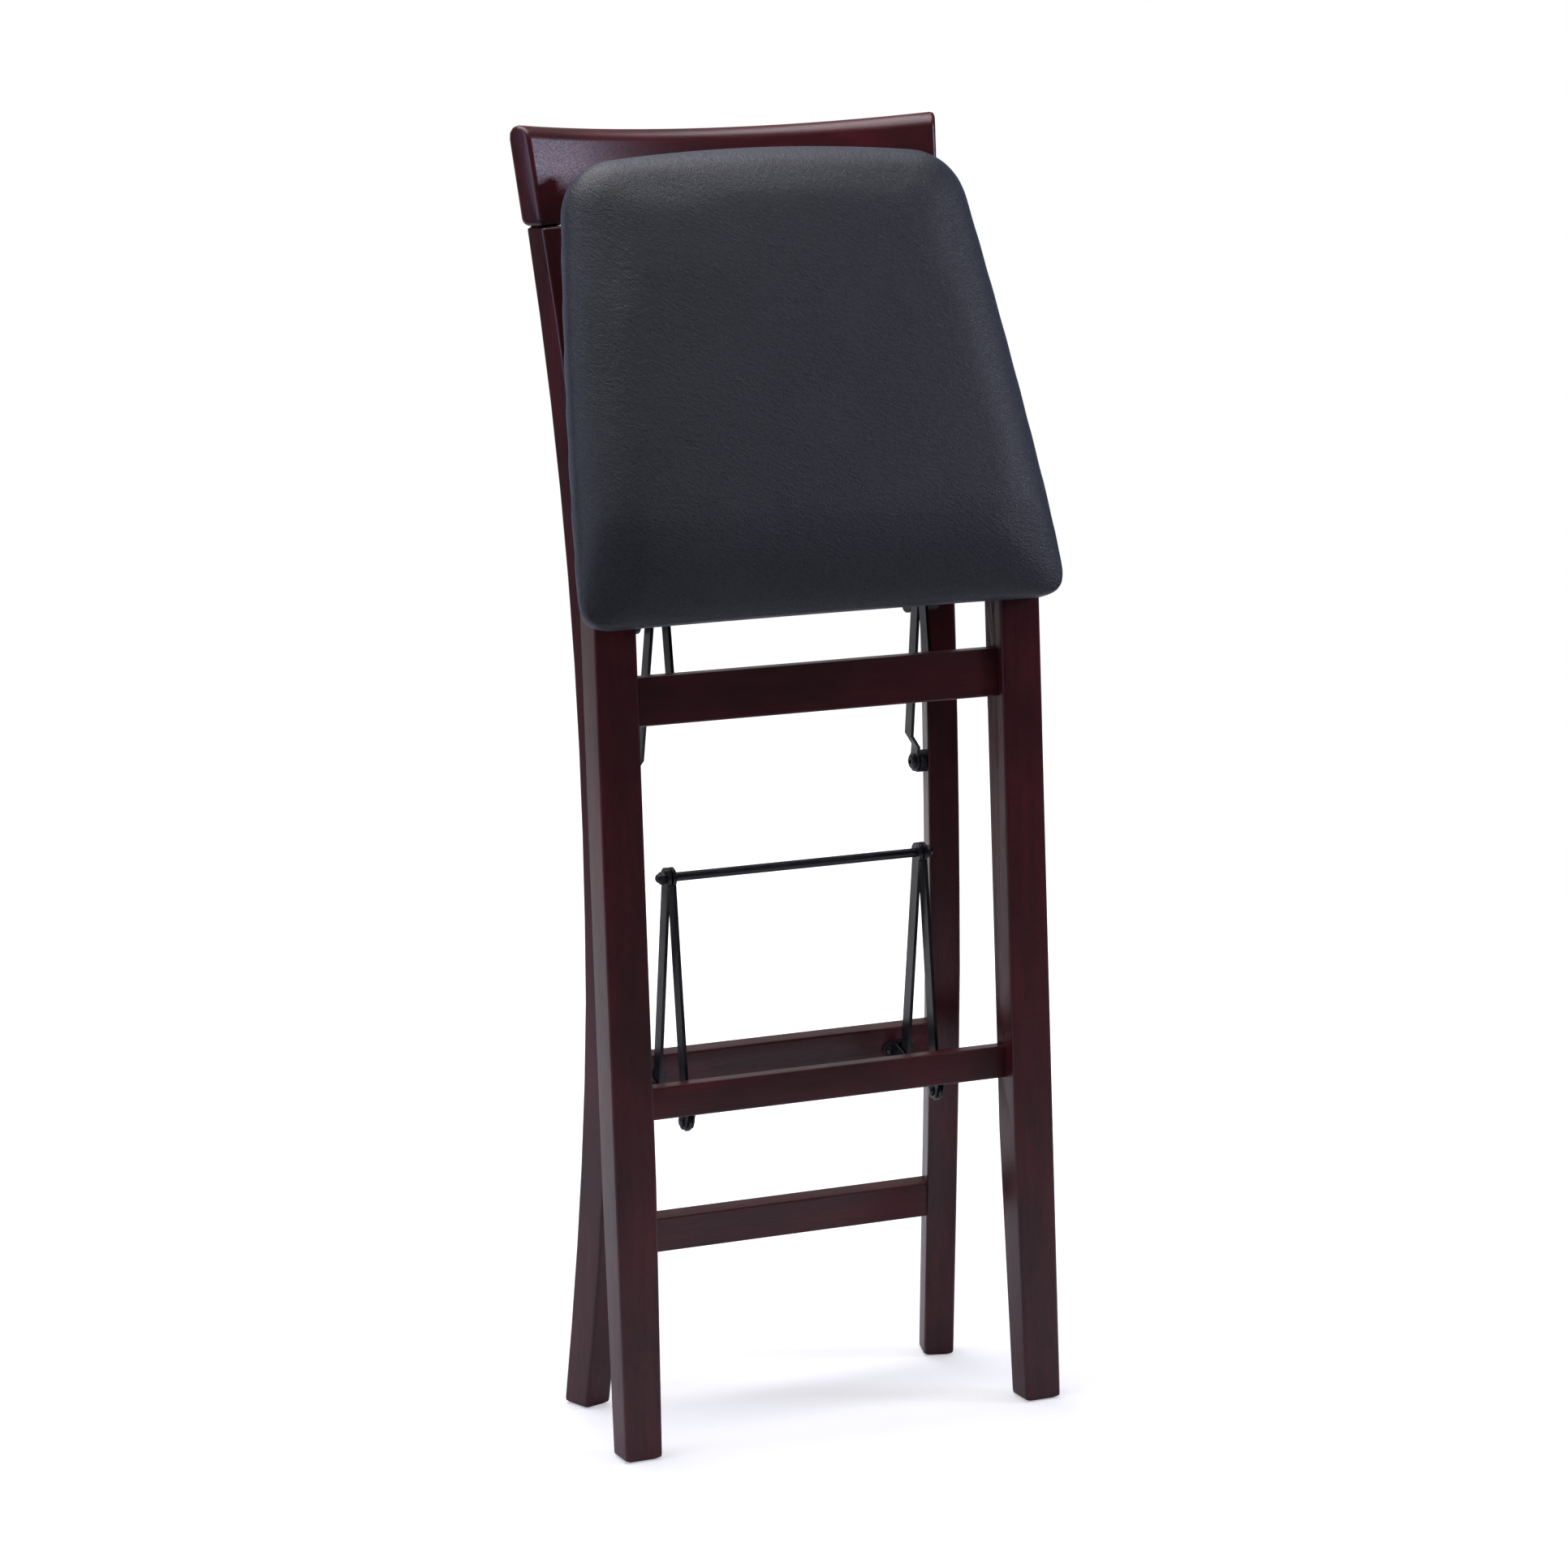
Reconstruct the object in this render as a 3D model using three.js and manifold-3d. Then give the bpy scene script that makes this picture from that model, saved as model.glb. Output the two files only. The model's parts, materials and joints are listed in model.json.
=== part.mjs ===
// Folding bar stool with a backrest: a front frame, a sabre-legged back frame, a padded seat
// hinged at the tops of the front legs, and two pairs of folding steel stays.
// It stands folded, as it is put away. Millimetres: X across, Y from front to back, Z up.

import * as THREE from 'three';
import { mergeVertices } from 'three/addons/utils/BufferGeometryUtils.js';
import Module from 'manifold-3d';

const DEGREE = Math.PI / 180;
const HALF_TURN = Math.PI;
const QUARTER_TURN = Math.PI / 2;
const LEFT = -1;
const RIGHT = 1;

// Fits shared by all pieces
const CLEARANCE = 0.3;
const OVERRUN = 1;
const ROUND_STEPS = 24;
const CORNER_STEPS = 3;
const ROUNDING_LIMIT_SHARE = 0.4975;

// Front frame
const SEAT_PIVOT_HEIGHT = 738;
const FRONT_TILT = 3.5 * DEGREE;
const FRONT_WIDTH = 423.6;
const FRONT_LEG_WIDTH = 38.8;
const FRONT_LEG_DEPTH = 33;
const FRONT_FOOT_WIDTH = 34.6;
const FRONT_FOOT_DEPTH = 29;
const FRONT_TAPER_HEIGHT = 245;
const FRONT_EDGE_RADIUS = 2.6;
const FRONT_RAIL_HEIGHT = 42.2;
const FRONT_RAIL_THICKNESS = 18.6;
const FRONT_RAIL_DROP = 102;
const FRONT_RAIL_BOTTOM = SEAT_PIVOT_HEIGHT - FRONT_RAIL_DROP;
const FRONT_RAIL_RECESS = 9.5;
const FOOTREST_HEIGHT = 28.5;
const FOOTREST_THICKNESS = 17.6;
const FOOTREST_BOTTOM = 294.3;
const FOOTREST_RECESS = 15.2;
const RAIL_EDGE_RADIUS = 1.8;
const FOOT_CHAMFER = 2.5;
const TENON_LENGTH = 14;
const TENON_SHOULDER = 4.5;

// Back frame
const BACK_LEG_TOP = 1048;
const BACK_LEG_THICKNESS = 27.7;
const BACK_FOOT_DEPTH = 30.7;
const BACK_BELLY_DEPTH = 33.6;
const BACK_TOP_DEPTH = 22.5;
const BACK_TOP_DEPTH_POWER = 1.5;
const BACK_TOE = 17.3 * DEGREE;
const BACK_BELLY_HEIGHT = 398;
const BACK_BELLY_Y = 119;
const BACK_FOOT_KICK = 37.7;
const BACK_KICK_POWER = 1.57;
const BACK_TOP_SWEEP = 80.3;
const BACK_SWEEP_POWER = 2.12;
const BACK_WAIST_HEIGHT = 450;
const BACK_WAIST_HALF = 171.5;
const BACK_FOOT_SPREAD = 12;
const BACK_TOP_SPREAD = 18.4;
const BACK_EDGE_RADIUS = 2.6;
const BACK_LEG_STEPS = 14;
const UPPER_BACK_RAIL_HEIGHT = 28.4;
const LOWER_BACK_RAIL_HEIGHT = 32.6;
const BACK_RAIL_THICKNESS = 19.6;
const BACK_RAIL_RECESS = 1.5;
const UPPER_BACK_RAIL_MIDDLE = 309.8;
const LOWER_BACK_RAIL_MIDDLE = 155;
const SLOPE_PROBE = 5;

// Crest rail
const CREST_TOP = 1134.5;
const CREST_HALF_CHORD = 190.4;
const CREST_BOW = 40;
const CREST_DIP = 10.5;
const CREST_FLARE = 3.8 * DEGREE;
const CREST_THICKNESS = 25;
const CREST_LEAN = 11.3 * DEGREE;
const CREST_TOP_RADIUS = 11.5;
const CREST_BOTTOM_RADIUS = 5;
const CREST_END_RADIUS = 4;
const CREST_STEPS = 18;
const CREST_CORNER_STEPS = 4;
const CREST_TENON_HEIGHT = 26;
const CREST_TENON_WIDTH = 14;
const CREST_TENON_DEPTH = 8;

// Seat, in its own frame: Y runs from the hinge to the rear edge, Z up through the pad
const SEAT_SLOPE_FOLDED = 70 * DEGREE;
const SEAT_RUNNING_GAP = 0.6;
const SEAT_FRONT = 25;
const SEAT_REAR = 387.5;
const SEAT_FRONT_HALF = 232.5;
const SEAT_REAR_HALF = 188.5;
const SEAT_SIDE_BULGE = 4.5;
const SEAT_FRONT_BULGE = 3;
const SEAT_REAR_BULGE = 12;
const SEAT_FRONT_CORNER = 40;
const SEAT_REAR_CORNER = 30;
const SEAT_CORNER_LEAST_SHARE = 0.25;
const SEAT_OUTLINE_STEPS = 6;
const BOARD_THICKNESS = 12;
const BOARD_INSET = 6.5;
const PAD_EDGE_HEIGHT = 36;
const PAD_CROWN_HEIGHT = 46;
const PAD_ROUNDING = 11;
const PAD_DRAW_IN = 2.5;
const PAD_TUCK_SHARE = 0.25;
const PAD_ARC_STEPS = 5;
const PAD_ARC_SHARE = 0.86;
const PAD_CROWN_POWER = 2.4;
const PAD_RING_SHARES = [0.93, 0.8, 0.62, 0.4, 0.18];
const BEARER_WIDTH = 13;
const BEARER_HEIGHT = 25;
const BEARER_OUTER = 145;
const BEARER_FRONT = 22;
const BEARER_REAR = 388;
const BEARER_TOP_REAR = 378;
const BEARER_NOSE_RADIUS = 2.5;

// Steel hardware
const STAY_WIDTH = 13;
const STAY_THICKNESS = 3;
const STAY_EYE_RADIUS = 9;
const PIN_RADIUS = 3;
const PIN_HEAD_RADIUS = 5;
const PIN_HEAD_HEIGHT = 2.2;
const PIN_BROW_SHARE = 0.8;
const STAY_LAYER_GAP = 1.9;
const CLEVIS_SHEET = 1.6;
const CLEVIS_LENGTH = 31;
const CLEVIS_HEIGHT = 16;
const CLEVIS_REACH = 15.8;
const CLEVIS_EYE_RADIUS = 7.5;
const CLEVIS_SIDE_GAP = 1.1;
const CLEVIS_SCREW_SPACING = 18;
const CLEVIS_CORNER_STEPS = 7;
const SCREW_HEAD_RADIUS = 3.5;
const SCREW_HEAD_HEIGHT = 1.9;
const SCREW_CROWN_SHARE = 0.7;
const SCREW_CROWN_HEIGHT_SHARE = 0.85;
const SCREW_RIM_HEIGHT_SHARE = 0.3;
const SCREW_SHANK_RADIUS = 1.7;
const SCREW_LENGTH = 13;
const SCREW_POINT_SHARE = 3;

// Lower stays
const LOWER_STAY_PLACE = 121.4;
const LOWER_STAY_HAND = 3.9;
const LOWER_BACK_LENGTH = 195.2;
const LOWER_FRONT_LENGTH = 213.1;
const LOWER_BACK_DROP = 11;
const LOWER_BACK_PLATE_DROP = 6.2;
const LOWER_FRONT_DROP = 10.8;
const LOWER_FRONT_PIVOT_HEIGHT = FOOTREST_BOTTOM - LOWER_FRONT_DROP;
const CROSS_ROD_RADIUS = 4;
const NUT_ACROSS_FLATS = 10;
const NUT_HEX_HEIGHT = 4.5;
const NUT_HEIGHT = 8.5;
const NUT_DOME_RADIUS = 4.4;
const NUT_THREAD_DEPTH = 5;
const WASHER_RADIUS = 6.5;

// Upper stays
const UPPER_BACK_SETBACK = 12.35;
const UPPER_BACK_DROP = 175;
const UPPER_BACK_PIVOT_Z = SEAT_PIVOT_HEIGHT - UPPER_BACK_DROP;
const UPPER_FRONT_DROP = 96;
const UPPER_FRONT_PIVOT_HEIGHT = SEAT_PIVOT_HEIGHT - UPPER_FRONT_DROP;
const UPPER_FRONT_PIVOT_REACH = 16.9;
const UPPER_FRONT_PLATE_DROP = 87;
const UPPER_FRONT_PLATE_HEIGHT = SEAT_PIVOT_HEIGHT - UPPER_FRONT_PLATE_DROP;
const UPPER_BACK_LENGTH = 228;
const UPPER_FRONT_LENGTH_SHARE = 0.6674;
const UPPER_FRONT_LENGTH = UPPER_BACK_LENGTH * UPPER_FRONT_LENGTH_SHARE;
const UPPER_STAY_OUTER = 138.5;
const UPPER_STAY_JOG = 7.5;
const UPPER_STAY_LEAN = 4.2;
const UPPER_JOG_START = 15;
const UPPER_JOG_RUN = 11;
const APEX_GAP = 0.4;
const BOLT_HEAD_RADIUS = 7;
const BOLT_HEAD_HEIGHT = 3;
const BOLT_CROWN_SHARE = 0.6;
const BOLT_BROW_SHARE = 0.92;
const BOLT_RADIUS = 4;
const BOLT_SOCKET_RADIUS = 2.4;
const BOLT_SOCKET_DEPTH = 2;
const BOLT_BITE = 15;
const SPACER_RADIUS = 10;
const PEG_RADIUS = 10;
const PEG_INNER = 130;
const PEG_DROP = 30;
const PEG_Z = SEAT_PIVOT_HEIGHT - PEG_DROP;
const PEG_DIMPLE_RADIUS = 4;
const PEG_DIMPLE_DEPTH = 2;

// Seat hinge brackets
const BRACKET_SHEET = 2.5;
const BRACKET_EAR_RADIUS = 11;
const BRACKET_FLANGE = 22;
const BRACKET_LENGTH = 46;
const BRACKET_SCREW_SPACING = 28;
const BRACKET_SCREW_SHARE = 0.75;
const HINGE_PIN_BITE = 20;
const HINGE_CROWN_SHARE = 0.75;

// Finishes
const woodFinish = () => new THREE.MeshStandardMaterial({ color: 0x38181a, roughness: 0.38, metalness: 0 });
const steelFinish = () => new THREE.MeshStandardMaterial({ color: 0x1b1c1f, roughness: 0.42, metalness: 0.7 });
const plasticFinish = () => new THREE.MeshStandardMaterial({ color: 0x131314, roughness: 0.5, metalness: 0 });
const vinylFinish = () => new THREE.MeshStandardMaterial({ color: 0x2c2c2f, roughness: 0.55, metalness: 0 });
const boardFinish = () => new THREE.MeshStandardMaterial({ color: 0x8a6a45, roughness: 0.7, metalness: 0 });

const wasm = await Module();
wasm.setup();

// Solid modelling

function toSolid(geometry) {
  const clean = geometry.clone();
  clean.deleteAttribute('normal');
  clean.deleteAttribute('uv');
  const merged = mergeVertices(clean, 1e-4);
  const vertProperties = new Float32Array(merged.attributes.position.array);
  const triVerts = new Uint32Array(merged.index.array);
  return new wasm.Manifold(new wasm.Mesh({ numProp: 3, vertProperties, triVerts }));
}

function toGeometry(solid) {
  const mesh = solid.getMesh();
  const geometry = new THREE.BufferGeometry();
  geometry.setAttribute('position', new THREE.BufferAttribute(mesh.vertProperties, 3));
  geometry.setIndex(new THREE.BufferAttribute(mesh.triVerts, 1));
  return geometry;
}

function join(first, ...others) {
  return toGeometry(others.reduce((sum, other) => sum.add(toSolid(other)), toSolid(first)));
}

function cut(base, ...tools) {
  return toGeometry(tools.reduce((rest, tool) => rest.subtract(toSolid(tool)), toSolid(base)));
}

function common(first, second) {
  return toGeometry(toSolid(first).intersect(toSolid(second)));
}

function placed(geometry, x, y, z, turnX = 0) {
  return geometry.clone().rotateX(turnX).translate(x, y, z);
}

// A closed skin through rings of equal point counts, capped by a fan at each end.
function loft(rings) {
  const count = rings[0].length;
  const points = rings.flat();
  const faces = [];
  for (let ring = 0; ring < rings.length - 1; ring += 1) {
    for (let i = 0; i < count; i += 1) {
      const a = ring * count + i;
      const b = ring * count + ((i + 1) % count);
      faces.push(a, b, b + count, a, b + count, a + count);
    }
  }
  for (const [first, order] of [[0, -1], [(rings.length - 1) * count, 1]]) {
    const middle = new THREE.Vector3();
    for (let i = 0; i < count; i += 1) middle.add(points[first + i]);
    points.push(middle.divideScalar(count));
    for (let i = 0; i < count; i += 1) {
      const edge = [first + i, first + ((i + 1) % count)];
      faces.push(points.length - 1, ...(order > 0 ? edge : edge.reverse()));
    }
  }
  const geometry = new THREE.BufferGeometry().setFromPoints(points);
  geometry.setIndex(signedVolume(points, faces) < 0 ? faces.slice().reverse() : faces);
  return geometry;
}

function signedVolume(points, faces) {
  let sum = 0;
  const across = new THREE.Vector3();
  for (let i = 0; i < faces.length; i += 3) {
    across.crossVectors(points[faces[i + 1]], points[faces[i + 2]]);
    sum += points[faces[i]].dot(across);
  }
  return sum;
}

// Points round a rectangle from (x0, y0) to (x1, y1), its corners rounded.
function roundedRectangle(x0, y0, x1, y1, radius, steps = CORNER_STEPS) {
  const r = Math.min(radius, (x1 - x0) * ROUNDING_LIMIT_SHARE, (y1 - y0) * ROUNDING_LIMIT_SHARE);
  const corners = [[x1 - r, y0 + r], [x1 - r, y1 - r], [x0 + r, y1 - r], [x0 + r, y0 + r]];
  return corners.flatMap(([x, y], corner) => Array.from({ length: steps }, (_, i) => {
    const angle = (corner - 1 + i / (steps - 1)) * QUARTER_TURN;
    return new THREE.Vector2(x + r * Math.cos(angle), y + r * Math.sin(angle));
  }));
}

// The outline of a cord pulled tight round a set of points.
function tightOutline(points) {
  const sorted = [...points].sort((a, b) => a.x - b.x || a.y - b.y);
  const side = (list) => {
    const chain = [];
    for (const p of list) {
      while (chain.length > 1 && turn(chain[chain.length - 2], chain[chain.length - 1], p) <= 0) {
        chain.pop();
      }
      chain.push(p);
    }
    return chain.slice(0, -1);
  };
  return new THREE.Shape([...side(sorted), ...side([...sorted].reverse())]);
}

function turn(a, b, c) {
  return (b.x - a.x) * (c.y - a.y) - (b.y - a.y) * (c.x - a.x);
}

function circlePoints(x, y, radius, steps = ROUND_STEPS) {
  return Array.from({ length: steps }, (_, i) => {
    const angle = (i / steps) * 2 * HALF_TURN;
    return new THREE.Vector2(x + radius * Math.cos(angle), y + radius * Math.sin(angle));
  });
}

// A plate whose outline is drawn in (Y, Z), centred on X = 0.
function sidePlate(shape, thickness) {
  const plate = new THREE.ExtrudeGeometry(shape, { depth: thickness, bevelEnabled: false });
  const axes = new THREE.Matrix4().makeBasis(
    new THREE.Vector3(0, 1, 0), new THREE.Vector3(0, 0, 1), new THREE.Vector3(1, 0, 0));
  return plate.applyMatrix4(axes).translate(-thickness / 2, 0, 0);
}

function cylinderX(radius, from, to, y = 0, z = 0, steps = ROUND_STEPS) {
  const length = Math.abs(to - from);
  return new THREE.CylinderGeometry(radius, radius, length, steps)
    .rotateZ(QUARTER_TURN).translate((from + to) / 2, y, z);
}

// A turned piece: profile pairs are (radius, distance along +X).
function turnedX(profile, steps = ROUND_STEPS) {
  const points = profile.map(([radius, along]) => new THREE.Vector2(radius, along));
  return new THREE.LatheGeometry(points, steps).rotateZ(-QUARTER_TURN);
}

function box(x0, y0, z0, x1, y1, z1) {
  return new THREE.BoxGeometry(x1 - x0, y1 - y0, z1 - z0)
    .translate((x0 + x1) / 2, (y0 + y1) / 2, (z0 + z1) / 2);
}

// A rail along X with softened long edges; Y is its thickness and Z its height.
function railBar(halfLength, y0, z0, y1, z1, radius) {
  const section = roundedRectangle(y0, z0, y1, z1, radius);
  return loft([-halfLength, halfLength].map(
    (x) => section.map((p) => new THREE.Vector3(x, p.x, p.y))));
}

// Scene assembly

const stool = new THREE.Group();
const backFrame = new THREE.Group();
const frontFrame = new THREE.Group();
const seat = new THREE.Group();
stool.add(backFrame, frontFrame);
frontFrame.rotation.x = -FRONT_TILT;

function sideName(side) {
  return side < 0 ? 'left' : 'right';
}

function addPiece(parent, name, geometry, finish) {
  const flat = geometry.index ? geometry.toNonIndexed() : geometry;
  flat.computeVertexNormals();
  const mesh = new THREE.Mesh(flat, finish());
  mesh.name = name;
  parent.add(mesh);
  return mesh;
}

// Places shared by the frames, in the stool's own axes (Y, Z)

function frontPoint(back, height) {
  return new THREE.Vector2(
    back * Math.cos(FRONT_TILT) + height * Math.sin(FRONT_TILT),
    height * Math.cos(FRONT_TILT) - back * Math.sin(FRONT_TILT));
}

// Where two stays of given lengths meet: the crossing of two circles that lies higher.
function stayApex(a, b, lengthA, lengthB) {
  const span = b.clone().sub(a);
  const reach = span.length();
  const along = (lengthA ** 2 - lengthB ** 2 + reach ** 2) / (2 * reach);
  const rise = Math.sqrt(lengthA ** 2 - along ** 2);
  const unit = span.divideScalar(reach);
  const upward = unit.x < 0 ? -1 : 1;
  return a.clone().addScaledVector(unit, along)
    .add(new THREE.Vector2(-unit.y, unit.x).multiplyScalar(rise * upward));
}

// Back leg: its front outer edge line and half width at each height

function backFrontLine(z) {
  if (z < BACK_BELLY_HEIGHT) {
    return BACK_BELLY_Y + BACK_FOOT_KICK * (1 - z / BACK_BELLY_HEIGHT) ** BACK_KICK_POWER;
  }
  const share = (z - BACK_BELLY_HEIGHT) / (BACK_LEG_TOP - BACK_BELLY_HEIGHT);
  return BACK_BELLY_Y + BACK_TOP_SWEEP * share ** BACK_SWEEP_POWER;
}

function backHalfWidth(z) {
  if (z < BACK_WAIST_HEIGHT) {
    return BACK_WAIST_HALF + BACK_FOOT_SPREAD * (1 - z / BACK_WAIST_HEIGHT) ** 2;
  }
  const share = (z - BACK_WAIST_HEIGHT) / (BACK_LEG_TOP - BACK_WAIST_HEIGHT);
  return BACK_WAIST_HALF + BACK_TOP_SPREAD * share ** 2;
}

function backDepth(z) {
  if (z < BACK_WAIST_HEIGHT) {
    const rise = Math.max(z, 0) / BACK_WAIST_HEIGHT;
    return BACK_FOOT_DEPTH + (BACK_BELLY_DEPTH - BACK_FOOT_DEPTH) * Math.sqrt(rise);
  }
  const share = (z - BACK_WAIST_HEIGHT) / (BACK_LEG_TOP - BACK_WAIST_HEIGHT);
  return BACK_BELLY_DEPTH + (BACK_TOP_DEPTH - BACK_BELLY_DEPTH) * share ** BACK_TOP_DEPTH_POWER;
}

function backInnerFrontY(z) {
  return backFrontLine(z) + BACK_LEG_THICKNESS * Math.sin(BACK_TOE);
}

// The inner face of a back leg at a height and a depth, as a distance from the middle.
function backInnerFace(y, z) {
  const corner = backHalfWidth(z) - BACK_LEG_THICKNESS * Math.cos(BACK_TOE);
  return corner + (y - backInnerFrontY(z)) * Math.tan(BACK_TOE);
}

function backLegRing(side, z, grow) {
  const section = roundedRectangle(
    -grow, -grow, BACK_LEG_THICKNESS + grow, backDepth(z) + grow, BACK_EDGE_RADIUS);
  return section.map((p) => new THREE.Vector3(
    side * (backHalfWidth(z) - p.x * Math.cos(BACK_TOE) + p.y * Math.sin(BACK_TOE)),
    backFrontLine(z) + p.x * Math.sin(BACK_TOE) + p.y * Math.cos(BACK_TOE), z));
}

function backLegBody(side, grow = 0) {
  const rings = [];
  for (let i = 1; i < BACK_LEG_STEPS; i += 1) {
    rings.push(backLegRing(side, (BACK_LEG_TOP * i) / BACK_LEG_STEPS, grow));
  }
  const soft = grow > 0 ? grow : -FOOT_CHAMFER;
  const low = grow > 0 ? -grow : 0;
  rings.unshift(backLegRing(side, low, soft), backLegRing(side, low + FOOT_CHAMFER, grow));
  rings.push(
    backLegRing(side, BACK_LEG_TOP - FOOT_CHAMFER, grow),
    backLegRing(side, BACK_LEG_TOP + Math.max(grow, 0), soft));
  return loft(rings);
}

function slopeAt(z) {
  const change = backFrontLine(z + SLOPE_PROBE) - backFrontLine(z - SLOPE_PROBE);
  return Math.atan2(-change, 2 * SLOPE_PROBE);
}

// A rail between the back legs, its ends scribed to their toed-out inner faces.
function backRail(middle, height) {
  const lean = slopeAt(middle);
  const front = backInnerFrontY(middle) + BACK_RAIL_RECESS;
  const half = backHalfWidth(middle) - BACK_LEG_THICKNESS / 2;
  const place = (geometry) => placed(geometry, 0, front, middle, lean);
  const bar = railBar(
    half, 0, -height / 2, BACK_RAIL_THICKNESS, height / 2, RAIL_EDGE_RADIUS);
  const tenon = (grow) => place(box(
    -half - grow, TENON_SHOULDER - grow, TENON_SHOULDER - height / 2 - grow,
    half + grow, BACK_RAIL_THICKNESS - TENON_SHOULDER + grow,
    height / 2 - TENON_SHOULDER + grow));
  const scribed = cut(place(bar), backLegBody(LEFT, CLEARANCE), backLegBody(RIGHT, CLEARANCE));
  return { lean, front, middle, body: join(scribed, tenon(0)), mortise: tenon(CLEARANCE) };
}

// Crest rail: an arc bowed backwards, leaning and flaring with the legs, its top scooped low

const crestBottom = BACK_LEG_TOP + CLEARANCE;
const crestRadius = (CREST_HALF_CHORD ** 2 + CREST_BOW ** 2) / (2 * CREST_BOW);
const crestEndAngle = Math.asin(CREST_HALF_CHORD / crestRadius);
const crestEndY = backFrontLine(BACK_LEG_TOP)
  - (CREST_HALF_CHORD - backHalfWidth(BACK_LEG_TOP)) * Math.tan(BACK_TOE);

function crestRing(angle, shrink) {
  const centreY = crestEndY - crestRadius * Math.cos(crestEndAngle);
  const low = roundedRectangle(shrink, crestBottom + shrink, CREST_THICKNESS - shrink,
    CREST_TOP - shrink, CREST_BOTTOM_RADIUS, CREST_CORNER_STEPS);
  const high = roundedRectangle(shrink, crestBottom + shrink, CREST_THICKNESS - shrink,
    CREST_TOP - shrink, CREST_TOP_RADIUS, CREST_CORNER_STEPS);
  const middle = (crestBottom + CREST_TOP) / 2;
  const dip = CREST_DIP * (1 - (angle / crestEndAngle) ** 2);
  return low.map((p, i) => (p.y < middle ? p : high[i])).map((p) => {
    const reach = crestRadius + p.x;
    const rise = p.y - crestBottom;
    const widening = 1 + (rise * Math.tan(CREST_FLARE)) / CREST_HALF_CHORD;
    return new THREE.Vector3(
      reach * Math.sin(angle) * widening,
      centreY + reach * Math.cos(angle) + rise * Math.tan(CREST_LEAN),
      p.y - (dip * rise) / (CREST_TOP - crestBottom));
  });
}

function crestBody() {
  const soft = CREST_END_RADIUS / crestRadius;
  const rings = [];
  for (let i = 0; i <= CREST_STEPS; i += 1) {
    rings.push(crestRing((crestEndAngle - soft) * ((2 * i) / CREST_STEPS - 1), 0));
  }
  const knee = crestEndAngle - soft * (1 - Math.SQRT1_2);
  const drop = CREST_END_RADIUS * (1 - Math.SQRT1_2);
  rings.unshift(crestRing(-crestEndAngle, CREST_END_RADIUS), crestRing(-knee, drop));
  rings.push(crestRing(knee, drop), crestRing(crestEndAngle, CREST_END_RADIUS));
  return loft(rings);
}

// The tenon on top of a back leg, turned with the leg and let into the crest.
function crestTenon(side, grow) {
  const z = BACK_LEG_TOP;
  const u = BACK_LEG_THICKNESS / 2;
  const v = backDepth(z) / 2;
  const x = side * (backHalfWidth(z) - u * Math.cos(BACK_TOE) + v * Math.sin(BACK_TOE));
  const y = backFrontLine(z) + u * Math.sin(BACK_TOE) + v * Math.cos(BACK_TOE);
  const block = new THREE.BoxGeometry(
    CREST_TENON_WIDTH + 2 * grow, CREST_TENON_DEPTH + 2 * grow, 2 * CREST_TENON_HEIGHT + 2 * grow);
  return placed(block.rotateZ(-side * BACK_TOE), x, y, z, -CREST_LEAN);
}

// Front frame, in its own tilted axes

function frontLegRing(side, height, width, depth, inset, front = 0) {
  const outer = FRONT_WIDTH / 2;
  const section = roundedRectangle(
    outer - width + inset, front + inset, outer - inset, front + depth - inset, FRONT_EDGE_RADIUS);
  return section.map((p) => new THREE.Vector3(side * p.x, p.y, height(p.y)));
}

function frontLegBody(side) {
  const level = (z) => () => z;
  const floor = (back) => back * Math.tan(FRONT_TILT);
  const topRadius = FRONT_LEG_DEPTH / 2;
  const rings = [
    frontLegRing(side, floor, FRONT_FOOT_WIDTH, FRONT_FOOT_DEPTH, FOOT_CHAMFER),
    frontLegRing(side, (back) => floor(back) + FOOT_CHAMFER, FRONT_FOOT_WIDTH, FRONT_FOOT_DEPTH, 0),
    frontLegRing(side, level(FRONT_TAPER_HEIGHT), FRONT_LEG_WIDTH, FRONT_LEG_DEPTH, 0),
  ];
  for (let i = 0; i <= ROUND_STEPS / 4; i += 1) {
    const angle = (i / (ROUND_STEPS / 4 + 1)) * QUARTER_TURN;
    const half = topRadius * Math.cos(angle);
    rings.push(frontLegRing(side, level(SEAT_PIVOT_HEIGHT + topRadius * Math.sin(angle)),
      FRONT_LEG_WIDTH, 2 * half, 0, topRadius - half));
  }
  return loft(rings);
}

const frontInner = FRONT_WIDTH / 2 - FRONT_LEG_WIDTH;

function frontRail(recess, bottom, thickness, height) {
  const reach = frontInner + TENON_LENGTH;
  const body = railBar(frontInner - CLEARANCE, recess, bottom, recess + thickness, bottom + height,
    RAIL_EDGE_RADIUS);
  const tenon = (grow) => box(
    -reach - grow, recess + TENON_SHOULDER - grow, bottom + TENON_SHOULDER - grow,
    reach + grow, recess + thickness - TENON_SHOULDER + grow, bottom + height - TENON_SHOULDER + grow);
  return { body: join(body, tenon(0)), mortise: tenon(CLEARANCE) };
}

// Steel pieces

// A flat stay from its first pivot at the origin to its second on +Y, with round eyes.
function stayOutline(length) {
  const start = Math.asin(STAY_WIDTH / 2 / STAY_EYE_RADIUS);
  const shape = new THREE.Shape();
  shape.absarc(0, 0, STAY_EYE_RADIUS, start, 2 * HALF_TURN - start, false);
  shape.absarc(length, 0, STAY_EYE_RADIUS, HALF_TURN + start, HALF_TURN - start, false);
  shape.closePath();
  return shape;
}

function straightStay(length) {
  const shape = stayOutline(length);
  const hole = PIN_RADIUS + CLEARANCE;
  shape.holes.push(new THREE.Path().absarc(0, 0, hole, 0, 2 * HALF_TURN, true));
  shape.holes.push(new THREE.Path().absarc(length, 0, hole, 0, 2 * HALF_TURN, true));
  return sidePlate(shape, STAY_THICKNESS);
}

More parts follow.
